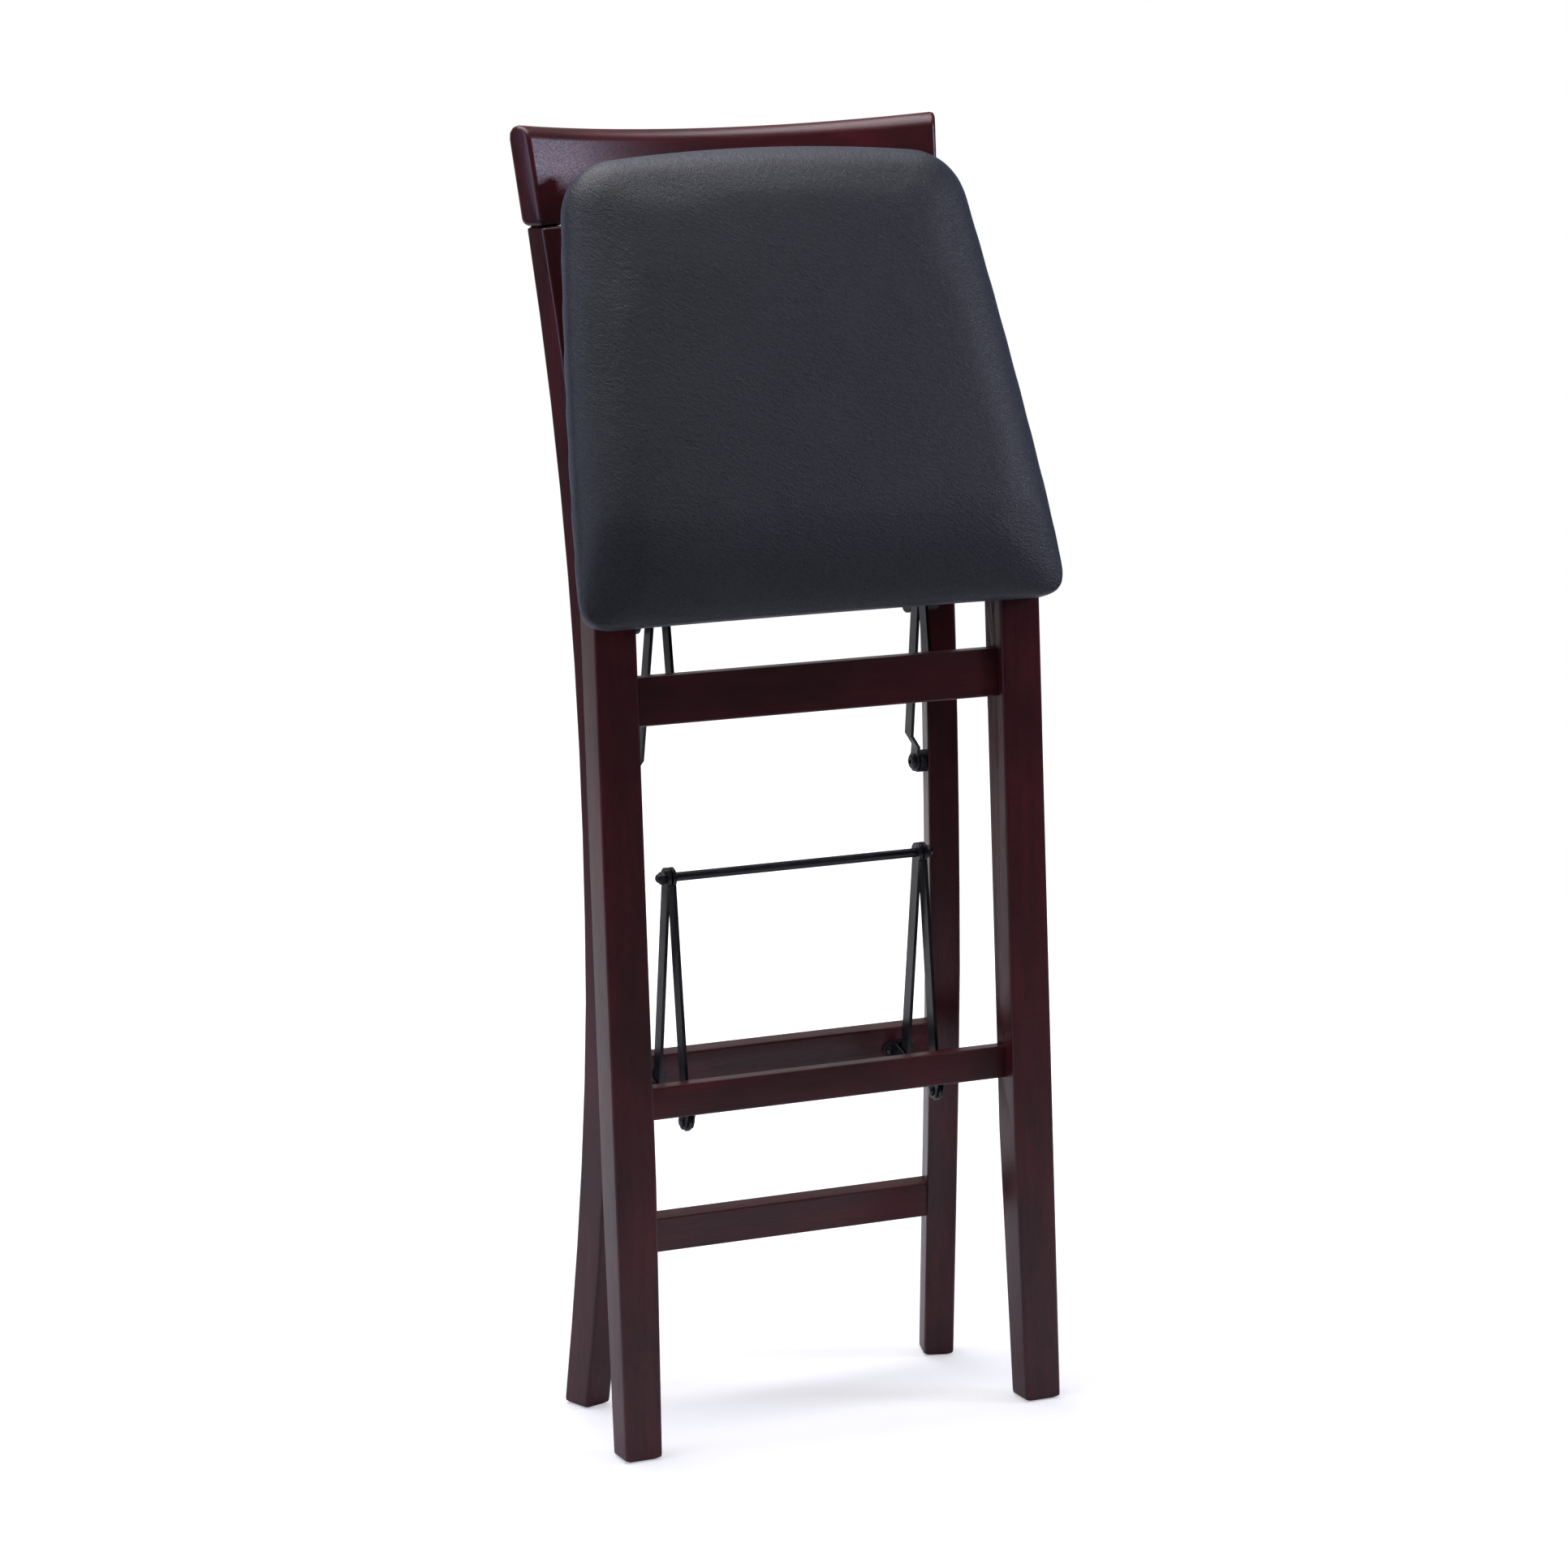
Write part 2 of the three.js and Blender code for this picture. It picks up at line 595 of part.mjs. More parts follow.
// The upper back stay: a flat bar jogged sideways just past its bolt, then leaning inward.
function joggedStay(length, side) {
  const half = STAY_THICKNESS / 2;
  const inward = -side;
  const spread = UPPER_STAY_JOG + UPPER_STAY_LEAN;
  const line = [
    [-STAY_EYE_RADIUS - OVERRUN, 0], [UPPER_JOG_START, 0],
    [UPPER_JOG_START + UPPER_JOG_RUN, UPPER_STAY_JOG],
    [length - STAY_EYE_RADIUS, spread], [length + STAY_EYE_RADIUS + OVERRUN, spread]];
  const band = new THREE.Shape([
    ...line.map(([along, x]) => new THREE.Vector2(along, inward * x - half)),
    ...line.reverse().map(([along, x]) => new THREE.Vector2(along, inward * x + half))]);
  const depth = 2 * STAY_EYE_RADIUS + 2 * OVERRUN;
  const strip = new THREE.ExtrudeGeometry(band, { depth, bevelEnabled: false })
    .applyMatrix4(new THREE.Matrix4().makeBasis(
      new THREE.Vector3(0, 1, 0), new THREE.Vector3(1, 0, 0), new THREE.Vector3(0, 0, -1)))
    .translate(0, 0, depth / 2);
  const reach = 2 * spread;
  const blank = sidePlate(stayOutline(length), 2 * reach);
  return cut(common(strip, blank),
    cylinderX(BOLT_RADIUS + CLEARANCE, -reach, reach),
    cylinderX(PIN_RADIUS + CLEARANCE, -reach, reach, length));
}

// A sheet-steel clevis: plate against a face at Y = 0, ears reaching to a pin at (reach, drop).
// With its screws fused on it is one solid; otherwise it has a hole for each of them.
function clevis(reach, drop, fused) {
  const halfGap = STAY_THICKNESS / 2 + CLEVIS_SIDE_GAP;
  const plateShape = new THREE.Shape(roundedRectangle(-CLEVIS_LENGTH / 2, -CLEVIS_HEIGHT / 2,
    CLEVIS_LENGTH / 2, CLEVIS_HEIGHT / 2, CLEVIS_HEIGHT / 2, CLEVIS_CORNER_STEPS));
  const plate = new THREE.ExtrudeGeometry(plateShape, { depth: CLEVIS_SHEET, bevelEnabled: false })
    .rotateX(QUARTER_TURN).translate(0, CLEVIS_SHEET, 0);
  const root = CLEVIS_HEIGHT / 2 - CLEVIS_SHEET;
  const ear = sidePlate(tightOutline([
    new THREE.Vector2(0, -root), new THREE.Vector2(0, root),
    new THREE.Vector2(CLEVIS_SHEET, -root), new THREE.Vector2(CLEVIS_SHEET, root),
    ...circlePoints(reach, drop, CLEVIS_EYE_RADIUS)]), CLEVIS_SHEET);
  const offset = halfGap + CLEVIS_SHEET / 2;
  const body = join(plate, placed(ear, -offset, 0, 0), placed(ear, offset, 0, 0));
  const bore = cylinderX(PIN_RADIUS + CLEARANCE, -CLEVIS_LENGTH, CLEVIS_LENGTH, reach, drop);
  const radius = SCREW_SHANK_RADIUS + CLEARANCE;
  const hole = new THREE.CylinderGeometry(radius, radius, 4 * CLEVIS_SHEET, ROUND_STEPS / 2);
  const screw = placed(along.forward(screwBody()), 0, CLEVIS_SHEET, 0);
  if (fused) return join(cut(body, bore), ...screwPlaces(0).map((x) => placed(screw, x, 0, 0)));
  return cut(body, bore, ...screwPlaces(0).map((x) => placed(hole, x, 0, 0)));
}

// A headed pin through a clevis, closed over at both ends.
function clevisPin() {
  const half = STAY_THICKNESS / 2 + CLEVIS_SIDE_GAP + CLEVIS_SHEET + CLEARANCE;
  const brow = PIN_HEAD_RADIUS * PIN_BROW_SHARE;
  const shoulder = half + PIN_HEAD_HEIGHT * PIN_BROW_SHARE;
  return turnedX([
    [0, -half - PIN_HEAD_HEIGHT], [brow, -shoulder], [PIN_HEAD_RADIUS, -half],
    [PIN_RADIUS, -half], [PIN_RADIUS, half],
    [PIN_HEAD_RADIUS, half], [brow, shoulder], [0, half + PIN_HEAD_HEIGHT]]);
}

// A pan-head screw driven along +X, its head's underside at X = 0.
function screwBody(grow = 0) {
  const shank = SCREW_SHANK_RADIUS + grow;
  const tip = SCREW_LENGTH + grow;
  const head = grow > 0 ? [[0, -grow], [shank, -grow]] : [
    [0, -SCREW_HEAD_HEIGHT],
    [SCREW_HEAD_RADIUS * SCREW_CROWN_SHARE, -SCREW_HEAD_HEIGHT * SCREW_CROWN_HEIGHT_SHARE],
    [SCREW_HEAD_RADIUS, -SCREW_HEAD_HEIGHT * SCREW_RIM_HEIGHT_SHARE],
    [SCREW_HEAD_RADIUS, 0], [shank, 0]];
  return turnedX([...head, [shank, tip - shank * SCREW_POINT_SHARE], [0, tip]], ROUND_STEPS / 2);
}

// Turns a piece drawn along +X so that it is driven along +Y, -Y or +Z.
const along = {
  backward: (geometry) => geometry.clone().rotateZ(QUARTER_TURN),
  forward: (geometry) => geometry.clone().rotateZ(-QUARTER_TURN),
  upward: (geometry) => geometry.clone().rotateY(-QUARTER_TURN),
};

const layerPitch = STAY_THICKNESS + STAY_LAYER_GAP;

function lowerStayX(side, layer) {
  return side * LOWER_STAY_PLACE - LOWER_STAY_HAND + layer * (layerPitch / 2);
}

// Back frame pieces

const upperBackRail = backRail(UPPER_BACK_RAIL_MIDDLE, UPPER_BACK_RAIL_HEIGHT);
const lowerBackRail = backRail(LOWER_BACK_RAIL_MIDDLE, LOWER_BACK_RAIL_HEIGHT);

function onUpperBackRail(out, up) {
  const { lean, front, middle } = upperBackRail;
  return new THREE.Vector2(
    front - out * Math.cos(lean) - up * Math.sin(lean),
    middle - out * Math.sin(lean) + up * Math.cos(lean));
}

const lowerBackPivot = onUpperBackRail(CLEVIS_REACH, -LOWER_BACK_DROP);
const lowerFrontBack = FOOTREST_RECESS + FOOTREST_THICKNESS + CLEVIS_REACH;
const lowerFrontPivot = frontPoint(lowerFrontBack, LOWER_FRONT_PIVOT_HEIGHT);
const lowerApex = stayApex(lowerFrontPivot, lowerBackPivot, LOWER_FRONT_LENGTH, LOWER_BACK_LENGTH);
const upperBackPivot = new THREE.Vector2(
  backInnerFrontY(UPPER_BACK_PIVOT_Z) + UPPER_BACK_SETBACK, UPPER_BACK_PIVOT_Z);
const pegY = backInnerFrontY(PEG_Z);
const upperFrontBack = FRONT_RAIL_RECESS + FRONT_RAIL_THICKNESS + UPPER_FRONT_PIVOT_REACH;
const upperFrontPivot = frontPoint(upperFrontBack, UPPER_FRONT_PIVOT_HEIGHT);
const upperApex = stayApex(upperFrontPivot, upperBackPivot, UPPER_FRONT_LENGTH, UPPER_BACK_LENGTH);
const upperFrontX = UPPER_STAY_OUTER - UPPER_STAY_JOG - UPPER_STAY_LEAN - STAY_THICKNESS - APEX_GAP;

function backClevisFrame() {
  const frame = new THREE.Group();
  frame.position.set(0, upperBackRail.front, upperBackRail.middle);
  frame.rotation.x = upperBackRail.lean;
  backFrame.add(frame);
  return frame;
}

function screwPlaces(x) {
  return [LEFT, RIGHT].map((end) => x + (end * CLEVIS_SCREW_SPACING) / 2);
}

function buildBackFrame() {
  const clevisFrame = backClevisFrame();
  const railHoles = [];
  for (const side of [LEFT, RIGHT]) {
    const name = sideName(side);
    const x = lowerStayX(side, LEFT);
    const drop = LOWER_BACK_PLATE_DROP - LOWER_BACK_DROP;
    const bracket = placed(clevis(CLEVIS_REACH - CLEARANCE, drop, false).rotateZ(HALF_TURN),
      x, -CLEARANCE, -LOWER_BACK_PLATE_DROP);
    addPiece(clevisFrame, `lower_back_clevis_${name}`, bracket, steelFinish);
    addPiece(clevisFrame, `lower_back_pin_${name}`,
      placed(clevisPin(), x, -CLEVIS_REACH, -LOWER_BACK_DROP), steelFinish);
    screwPlaces(x).forEach((place, index) => {
      const seatY = -CLEVIS_SHEET - 2 * CLEARANCE;
      const set = (geometry) => placed(along.backward(geometry), place, seatY, -LOWER_BACK_PLATE_DROP);
      addPiece(clevisFrame, `lower_back_screw_${name}_${index + 1}`, set(screwBody()), steelFinish);
      railHoles.push(placed(set(screwBody(CLEARANCE)), 0, upperBackRail.front,
        upperBackRail.middle, upperBackRail.lean));
    });
  }
  addPiece(backFrame, 'upper_back_rail', cut(upperBackRail.body, ...railHoles), woodFinish);
  addPiece(backFrame, 'lower_back_rail', lowerBackRail.body, woodFinish);

  const crest = cut(crestBody(), crestTenon(LEFT, CLEARANCE), crestTenon(RIGHT, CLEARANCE));
  addPiece(backFrame, 'crest_rail', crest, woodFinish);
  for (const side of [LEFT, RIGHT]) buildBackLeg(side);
}

function buildBackLeg(side) {
  const name = sideName(side);
  const boltSeat = UPPER_STAY_OUTER + STAY_THICKNESS / 2;
  const boltEnd = backInnerFace(upperBackPivot.x, UPPER_BACK_PIVOT_Z) + BOLT_BITE;
  const bore = cylinderX(BOLT_RADIUS + CLEARANCE, side * boltSeat, side * (boltEnd + CLEARANCE),
    upperBackPivot.x, UPPER_BACK_PIVOT_Z);
  const leg = cut(join(backLegBody(side), crestTenon(side, 0)),
    upperBackRail.mortise, lowerBackRail.mortise, bore);
  addPiece(backFrame, `back_leg_${name}`, leg, woodFinish);

  const grown = backLegBody(side, CLEARANCE);
  const spacer = cut(
    cylinderX(SPACER_RADIUS, side * (boltSeat + CLEARANCE), side * boltEnd,
      upperBackPivot.x, UPPER_BACK_PIVOT_Z), bore, grown);
  addPiece(backFrame, `stay_spacer_${name}`, spacer, plasticFinish);

  const headBase = -STAY_THICKNESS - CLEARANCE;
  const bolt = cut(turnedX([
    [0, headBase - BOLT_HEAD_HEIGHT],
    [BOLT_HEAD_RADIUS * BOLT_CROWN_SHARE, headBase - BOLT_HEAD_HEIGHT],
    [BOLT_HEAD_RADIUS * BOLT_BROW_SHARE, headBase - BOLT_HEAD_HEIGHT * BOLT_CROWN_SHARE],
    [BOLT_HEAD_RADIUS, headBase],
    [BOLT_RADIUS, headBase], [BOLT_RADIUS, boltEnd - boltSeat], [0, boltEnd - boltSeat]]),
  cylinderX(BOLT_SOCKET_RADIUS, headBase - BOLT_HEAD_HEIGHT - OVERRUN,
    headBase - BOLT_HEAD_HEIGHT + BOLT_SOCKET_DEPTH, 0, 0, 6));
  const turned = side < 0 ? bolt.rotateZ(HALF_TURN) : bolt;
  addPiece(backFrame, `stay_bolt_${name}`,
    placed(turned, side * boltSeat, upperBackPivot.x, UPPER_BACK_PIVOT_Z), steelFinish);

  const pegEnd = backInnerFace(pegY, PEG_Z) + SPACER_RADIUS;
  const peg = cut(cylinderX(PEG_RADIUS, side * PEG_INNER, side * pegEnd, pegY, PEG_Z), grown,
    cylinderX(PEG_DIMPLE_RADIUS, side * (PEG_INNER - OVERRUN), side * (PEG_INNER + PEG_DIMPLE_DEPTH),
      pegY, PEG_Z));
  addPiece(backFrame, `seat_rest_peg_${name}`, peg, plasticFinish);
}

// Front frame pieces

function buildFrontFrame() {
  const upper = frontRail(FRONT_RAIL_RECESS, FRONT_RAIL_BOTTOM, FRONT_RAIL_THICKNESS, FRONT_RAIL_HEIGHT);
  const lower = frontRail(FOOTREST_RECESS, FOOTREST_BOTTOM, FOOTREST_THICKNESS, FOOTREST_HEIGHT);
  const upperHoles = [];
  const lowerHoles = [];
  for (const side of [LEFT, RIGHT]) {
    const name = sideName(side);
    const pinHoleBore = cylinderX(PIN_RADIUS + 2 * CLEARANCE, side * (frontInner - OVERRUN),
      side * (frontInner + HINGE_PIN_BITE + CLEARANCE), FRONT_LEG_DEPTH / 2, SEAT_PIVOT_HEIGHT);
    addPiece(frontFrame, `front_leg_${name}`,
      cut(frontLegBody(side), upper.mortise, lower.mortise, pinHoleBore), woodFinish);
    addPiece(frontFrame, `seat_hinge_pin_${name}`, hingePin(side), steelFinish);
    frontClevis(`lower_front_clevis_${name}`, `lower_front_pin_${name}`, lowerStayX(side, RIGHT),
      FOOTREST_RECESS + FOOTREST_THICKNESS, FOOTREST_BOTTOM + FOOTREST_HEIGHT / 2,
      CLEVIS_REACH, LOWER_FRONT_PIVOT_HEIGHT, lowerHoles);
    frontClevis(`upper_front_clevis_${name}`, `upper_front_pin_${name}`, side * upperFrontX,
      FRONT_RAIL_RECESS + FRONT_RAIL_THICKNESS, UPPER_FRONT_PLATE_HEIGHT,
      UPPER_FRONT_PIVOT_REACH, UPPER_FRONT_PIVOT_HEIGHT, upperHoles);
  }
  addPiece(frontFrame, 'upper_front_rail', cut(upper.body, ...upperHoles), woodFinish);
  addPiece(frontFrame, 'footrest_rail', cut(lower.body, ...lowerHoles), woodFinish);
}

function frontClevis(name, pinName, x, face, plateHeight, reach, pinHeight, holes) {
  const bracket = clevis(reach - CLEARANCE, pinHeight - plateHeight, true);
  addPiece(frontFrame, name, placed(bracket, x, face + CLEARANCE, plateHeight), steelFinish);
  addPiece(frontFrame, pinName, placed(clevisPin(), x, face + reach, pinHeight), steelFinish);
  const bore = placed(along.forward(screwBody(CLEARANCE)), x, face + CLEVIS_SHEET + CLEARANCE,
    plateHeight);
  holes.push(...screwPlaces(0).map((place) => placed(bore, place, 0, 0)));
}

// The shoulder screw that the seat turns on, driven outward into a front leg's top.
function hingePin(side) {
  const earOuter = frontInner - 2 * CLEARANCE;
  const headBase = earOuter - BRACKET_SHEET - CLEARANCE;
  const end = frontInner + HINGE_PIN_BITE;
  const radius = PIN_RADIUS + CLEARANCE;
  const pin = turnedX([
    [0, headBase - BOLT_HEAD_HEIGHT],
    [BOLT_HEAD_RADIUS * HINGE_CROWN_SHARE, headBase - BOLT_HEAD_HEIGHT],
    [BOLT_HEAD_RADIUS, headBase - BOLT_HEAD_HEIGHT / 2], [BOLT_HEAD_RADIUS, headBase],
    [radius, headBase], [radius, end], [0, end]]);
  const turned = side < 0 ? pin.rotateZ(HALF_TURN) : pin;
  return placed(turned, 0, FRONT_LEG_DEPTH / 2, SEAT_PIVOT_HEIGHT);
}

// Lower stays, cross rod and its nuts

function stayGroup(from, to) {
  const group = new THREE.Group();
  group.position.set(0, from.x, from.y);
  group.rotation.x = Math.atan2(to.y - from.y, to.x - from.x);
  stool.add(group);
  return group;
}

function capNut(outward) {
  const acrossCorners = NUT_ACROSS_FLATS / 2 / Math.cos(HALF_TURN / 6);
  const hex = cylinderX(acrossCorners, 0, NUT_HEX_HEIGHT, 0, 0, 6);
  const dome = [[0, NUT_HEX_HEIGHT - OVERRUN], [NUT_DOME_RADIUS, NUT_HEX_HEIGHT - OVERRUN]];
  for (let i = 0; i <= CORNER_STEPS; i += 1) {
    const angle = (i / CORNER_STEPS) * QUARTER_TURN;
    dome.push([NUT_DOME_RADIUS * Math.cos(angle),
      NUT_HEX_HEIGHT + (NUT_HEIGHT - NUT_HEX_HEIGHT) * Math.sin(angle)]);
  }
  dome[dome.length - 1][0] = 0;
  const thread = cylinderX(PIN_RADIUS + CLEARANCE, -OVERRUN, NUT_THREAD_DEPTH + CLEARANCE);
  const nut = cut(join(hex, turnedX(dome)), thread);
  return outward < 0 ? nut.rotateZ(HALF_TURN) : nut;
}

function buildLowerStays() {
  const backStays = stayGroup(lowerBackPivot, lowerApex);
  const frontStays = stayGroup(lowerFrontPivot, lowerApex);
  const apex = new THREE.Group();
  apex.position.set(0, lowerApex.x, lowerApex.y);
  stool.add(apex);
  for (const side of [LEFT, RIGHT]) {
    const name = sideName(side);
    addPiece(backStays, `lower_back_stay_${name}`,
      placed(straightStay(LOWER_BACK_LENGTH), lowerStayX(side, LEFT), 0, 0), steelFinish);
    addPiece(frontStays, `lower_front_stay_${name}`,
      placed(straightStay(LOWER_FRONT_LENGTH), lowerStayX(side, RIGHT), 0, 0), steelFinish);
    const middle = lowerStayX(side, 0);
    const halfWasher = STAY_LAYER_GAP / 2 - CLEARANCE;
    const washer = turnedX([[PIN_RADIUS + CLEARANCE, -halfWasher], [WASHER_RADIUS, -halfWasher],
      [WASHER_RADIUS, halfWasher], [PIN_RADIUS + CLEARANCE, halfWasher],
      [PIN_RADIUS + CLEARANCE, -halfWasher]]);
    addPiece(apex, `apex_washer_${name}`, placed(washer, middle, 0, 0), steelFinish);
    const outerLayer = lowerStayX(side, side) + side * (STAY_THICKNESS / 2 + CLEARANCE);
    addPiece(apex, `apex_cap_nut_${name}`, placed(capNut(side), outerLayer, 0, 0), steelFinish);
  }
  addPiece(apex, 'cross_rod', crossRod(), steelFinish);
}

function crossRod() {
  const shoulder = (side) => lowerStayX(side, -side) - side * (STAY_THICKNESS / 2 + CLEARANCE);
  const end = (side) => lowerStayX(side, side)
    + side * (STAY_THICKNESS / 2 + CLEARANCE + NUT_THREAD_DEPTH);
  return turnedX([[0, end(LEFT)], [PIN_RADIUS, end(LEFT)], [PIN_RADIUS, shoulder(LEFT)],
    [CROSS_ROD_RADIUS, shoulder(LEFT)], [CROSS_ROD_RADIUS, shoulder(RIGHT)],
    [PIN_RADIUS, shoulder(RIGHT)], [PIN_RADIUS, end(RIGHT)], [0, end(RIGHT)]]);
}

// Upper stays; the rivet that joins them is carried by the back stay

function buildUpperStays() {
  const backStays = stayGroup(upperBackPivot, upperApex);
  const frontStays = stayGroup(upperFrontPivot, upperApex);
  const inner = UPPER_STAY_OUTER - UPPER_STAY_JOG - UPPER_STAY_LEAN;
  for (const side of [LEFT, RIGHT]) {
    const name = sideName(side);
    addPiece(backStays, `upper_back_stay_${name}`,
      placed(joggedStay(UPPER_BACK_LENGTH, side), side * UPPER_STAY_OUTER, 0, 0), steelFinish);
    addPiece(frontStays, `upper_front_stay_${name}`,
      placed(straightStay(UPPER_FRONT_LENGTH), side * upperFrontX, 0, 0), steelFinish);
    const half = STAY_THICKNESS / 2;
    const rivet = turnedX([[0, -half], [PIN_RADIUS, -half], [PIN_RADIUS, half + CLEARANCE],
      [PIN_HEAD_RADIUS, half + CLEARANCE],
      [PIN_HEAD_RADIUS * PIN_BROW_SHARE, half + CLEARANCE + PIN_HEAD_HEIGHT * PIN_BROW_SHARE],
      [0, half + CLEARANCE + PIN_HEAD_HEIGHT]]);
    const turned = side < 0 ? rivet.rotateZ(HALF_TURN) : rivet;
    addPiece(backStays, `upper_apex_rivet_${name}`,
      placed(turned, side * inner, UPPER_BACK_LENGTH, 0), steelFinish);
  }
}

// Seat

const boardBottom = FRONT_LEG_DEPTH / 2 + SEAT_RUNNING_GAP;
const boardTop = boardBottom + BOARD_THICKNESS;

// Points round the seat's outline, drawn in by a distance all round.
function seatOutline(inset, steps = SEAT_OUTLINE_STEPS) {
  const front = -SEAT_FRONT + inset;
  const rear = SEAT_REAR - inset;
  const frontHalf = SEAT_FRONT_HALF - inset;
  const rearHalf = SEAT_REAR_HALF - inset;
  const frontCorner = Math.max(SEAT_FRONT_CORNER - inset, SEAT_FRONT_CORNER * SEAT_CORNER_LEAST_SHARE);
  const rearCorner = Math.max(SEAT_REAR_CORNER - inset, SEAT_REAR_CORNER * SEAT_CORNER_LEAST_SHARE);
  const lean = Math.atan2(frontHalf - rearHalf, rear - front);
  const halfAt = (y) => {
    const share = (y - front) / (rear - front);
    return frontHalf + (rearHalf - frontHalf) * share + 4 * SEAT_SIDE_BULGE * share * (1 - share);
  };
  const frontAt = (x) => front + SEAT_FRONT_BULGE * (x / frontHalf) ** 2;
  const rearAt = (x) => rear - SEAT_REAR_BULGE * (x / rearHalf) ** 2;
  const right = [];
  for (let i = 1; i <= steps; i += 1) {
    const x = ((rearHalf - rearCorner) * (i - 1)) / steps;
    right.push(new THREE.Vector2(x, rearAt(x)));
  }
  const cornerY = rearAt(rearHalf - rearCorner) - rearCorner;
  for (let i = 0; i <= steps; i += 1) {
    const angle = QUARTER_TURN - (i / steps) * (QUARTER_TURN - lean);
    const x = halfAt(cornerY) - rearCorner + rearCorner * Math.cos(angle);
    right.push(new THREE.Vector2(x, cornerY + rearCorner * Math.sin(angle)));
  }
  const lowY = frontAt(frontHalf - frontCorner) + frontCorner;
  for (let i = 1; i <= steps; i += 1) {
    const y = cornerY + ((lowY - cornerY) * i) / (steps + 1);
    right.push(new THREE.Vector2(halfAt(y), y));
  }
  for (let i = 0; i <= steps; i += 1) {
    const angle = lean - (i / steps) * (QUARTER_TURN + lean);
    const x = halfAt(lowY) - frontCorner + frontCorner * Math.cos(angle);
    right.push(new THREE.Vector2(x, lowY + frontCorner * Math.sin(angle)));
  }
  for (let i = 1; i <= steps; i += 1) {
    const x = (halfAt(lowY) - frontCorner) * (1 - i / steps);
    right.push(new THREE.Vector2(x, frontAt(x)));
  }
  const left = right.slice(1, -1).reverse().map((p) => new THREE.Vector2(-p.x, p.y));
  return [...right, ...left];
}

function seatRing(inset, z) {
  return seatOutline(inset).map((p) => new THREE.Vector3(p.x, p.y, z));
}

function boardBody(grow) {
  const rings = [boardBottom - grow, boardTop + grow].map((z) => seatRing(BOARD_INSET - grow, z));
  return loft(rings);
}

// The pad: drawn in below, rounded over at its edge, crowned over the middle.
function padBody() {
  const top = boardBottom + PAD_EDGE_HEIGHT;
  const crown = boardBottom + PAD_CROWN_HEIGHT;
  const bottom = boardBottom + CLEARANCE;
  const rings = [seatRing(PAD_DRAW_IN, bottom), seatRing(PAD_DRAW_IN * PAD_TUCK_SHARE, bottom + PAD_DRAW_IN)];
  const waist = top - PAD_ROUNDING;
  rings.push(seatRing(0, (bottom + waist) / 2));
  const arc = QUARTER_TURN * PAD_ARC_SHARE;
  for (let i = 0; i <= PAD_ARC_STEPS; i += 1) {
    const angle = (i / PAD_ARC_STEPS) * arc;
    rings.push(seatRing(PAD_ROUNDING * (1 - Math.cos(angle)), waist + PAD_ROUNDING * Math.sin(angle)));
  }
  const rim = seatOutline(PAD_ROUNDING);
  const rimZ = waist + PAD_ROUNDING * Math.sin(arc);
  const centre = new THREE.Vector2(0, (SEAT_REAR - SEAT_FRONT) / 2);
  for (const share of PAD_RING_SHARES) {
    const z = rimZ + (crown - rimZ) * (1 - share ** PAD_CROWN_POWER);
    rings.push(rim.map((p) => new THREE.Vector3(
      centre.x + (p.x - centre.x) * share, centre.y + (p.y - centre.y) * share, z)));
  }
  return loft(rings);
}

// The wrap of the pad goes round the board's edge and stays open below.
function cushionBody() {
  const below = boardBody(CLEARANCE);
  const opening = loft([boardBottom - OVERRUN, boardBottom + OVERRUN].map(
    (z) => seatRing(BOARD_INSET - CLEARANCE, z)));
  return cut(padBody(), below, opening);
}

function bearerBody(side) {
  const low = boardBottom - CLEARANCE - BEARER_HEIGHT;
  const high = boardBottom - CLEARANCE;
  const nose = circlePoints(BEARER_REAR - BEARER_NOSE_RADIUS, low + BEARER_NOSE_RADIUS,
    BEARER_NOSE_RADIUS);
  const toe = circlePoints(BEARER_FRONT + BEARER_NOSE_RADIUS, low + BEARER_NOSE_RADIUS,
    BEARER_NOSE_RADIUS);
  const shape = tightOutline([new THREE.Vector2(BEARER_FRONT, high),
    new THREE.Vector2(BEARER_TOP_REAR, high), ...nose, ...toe]);
  return placed(sidePlate(shape, BEARER_WIDTH), side * (BEARER_OUTER - BEARER_WIDTH / 2), 0, 0);
}

function hingeBracket() {
  const outer = frontInner - 2 * CLEARANCE;
  const high = boardBottom - CLEARANCE;
  const ear = sidePlate(tightOutline([
    ...circlePoints(0, 0, BRACKET_EAR_RADIUS),
    new THREE.Vector2(-BRACKET_EAR_RADIUS, high), new THREE.Vector2(BRACKET_LENGTH / 2, high),
    new THREE.Vector2(BRACKET_LENGTH / 2, high - BRACKET_SHEET)]), BRACKET_SHEET);
  const flange = box(outer - BRACKET_FLANGE, -BRACKET_EAR_RADIUS, high - BRACKET_SHEET,
    outer, BRACKET_LENGTH - BRACKET_EAR_RADIUS, high);
  const bent = join(placed(ear, outer - BRACKET_SHEET / 2, 0, 0), flange);
  const holes = bracketScrewPlaces().map((y) => placed(bracketScrew(CLEARANCE), 0, y, 0));
  const body = cut(bent, cylinderX(PIN_RADIUS + 2 * CLEARANCE, 0, FRONT_WIDTH), ...holes);
  return body;
}

function bracketScrewPlaces() {
  const first = (BRACKET_LENGTH - BRACKET_SCREW_SPACING) / 2 - BRACKET_EAR_RADIUS;
  return [first, first + BRACKET_SCREW_SPACING];
}

// A short screw up through a hinge bracket's flange into the seat board.
function bracketScrew(grow) {
  const x = frontInner - 2 * CLEARANCE - BRACKET_SHEET - (BRACKET_FLANGE - BRACKET_SHEET) / 2;
  const seatZ = boardBottom - BRACKET_SHEET - 2 * CLEARANCE;
  return placed(along.upward(screwBody(grow).scale(BRACKET_SCREW_SHARE, 1, 1)), x, 0, seatZ);
}

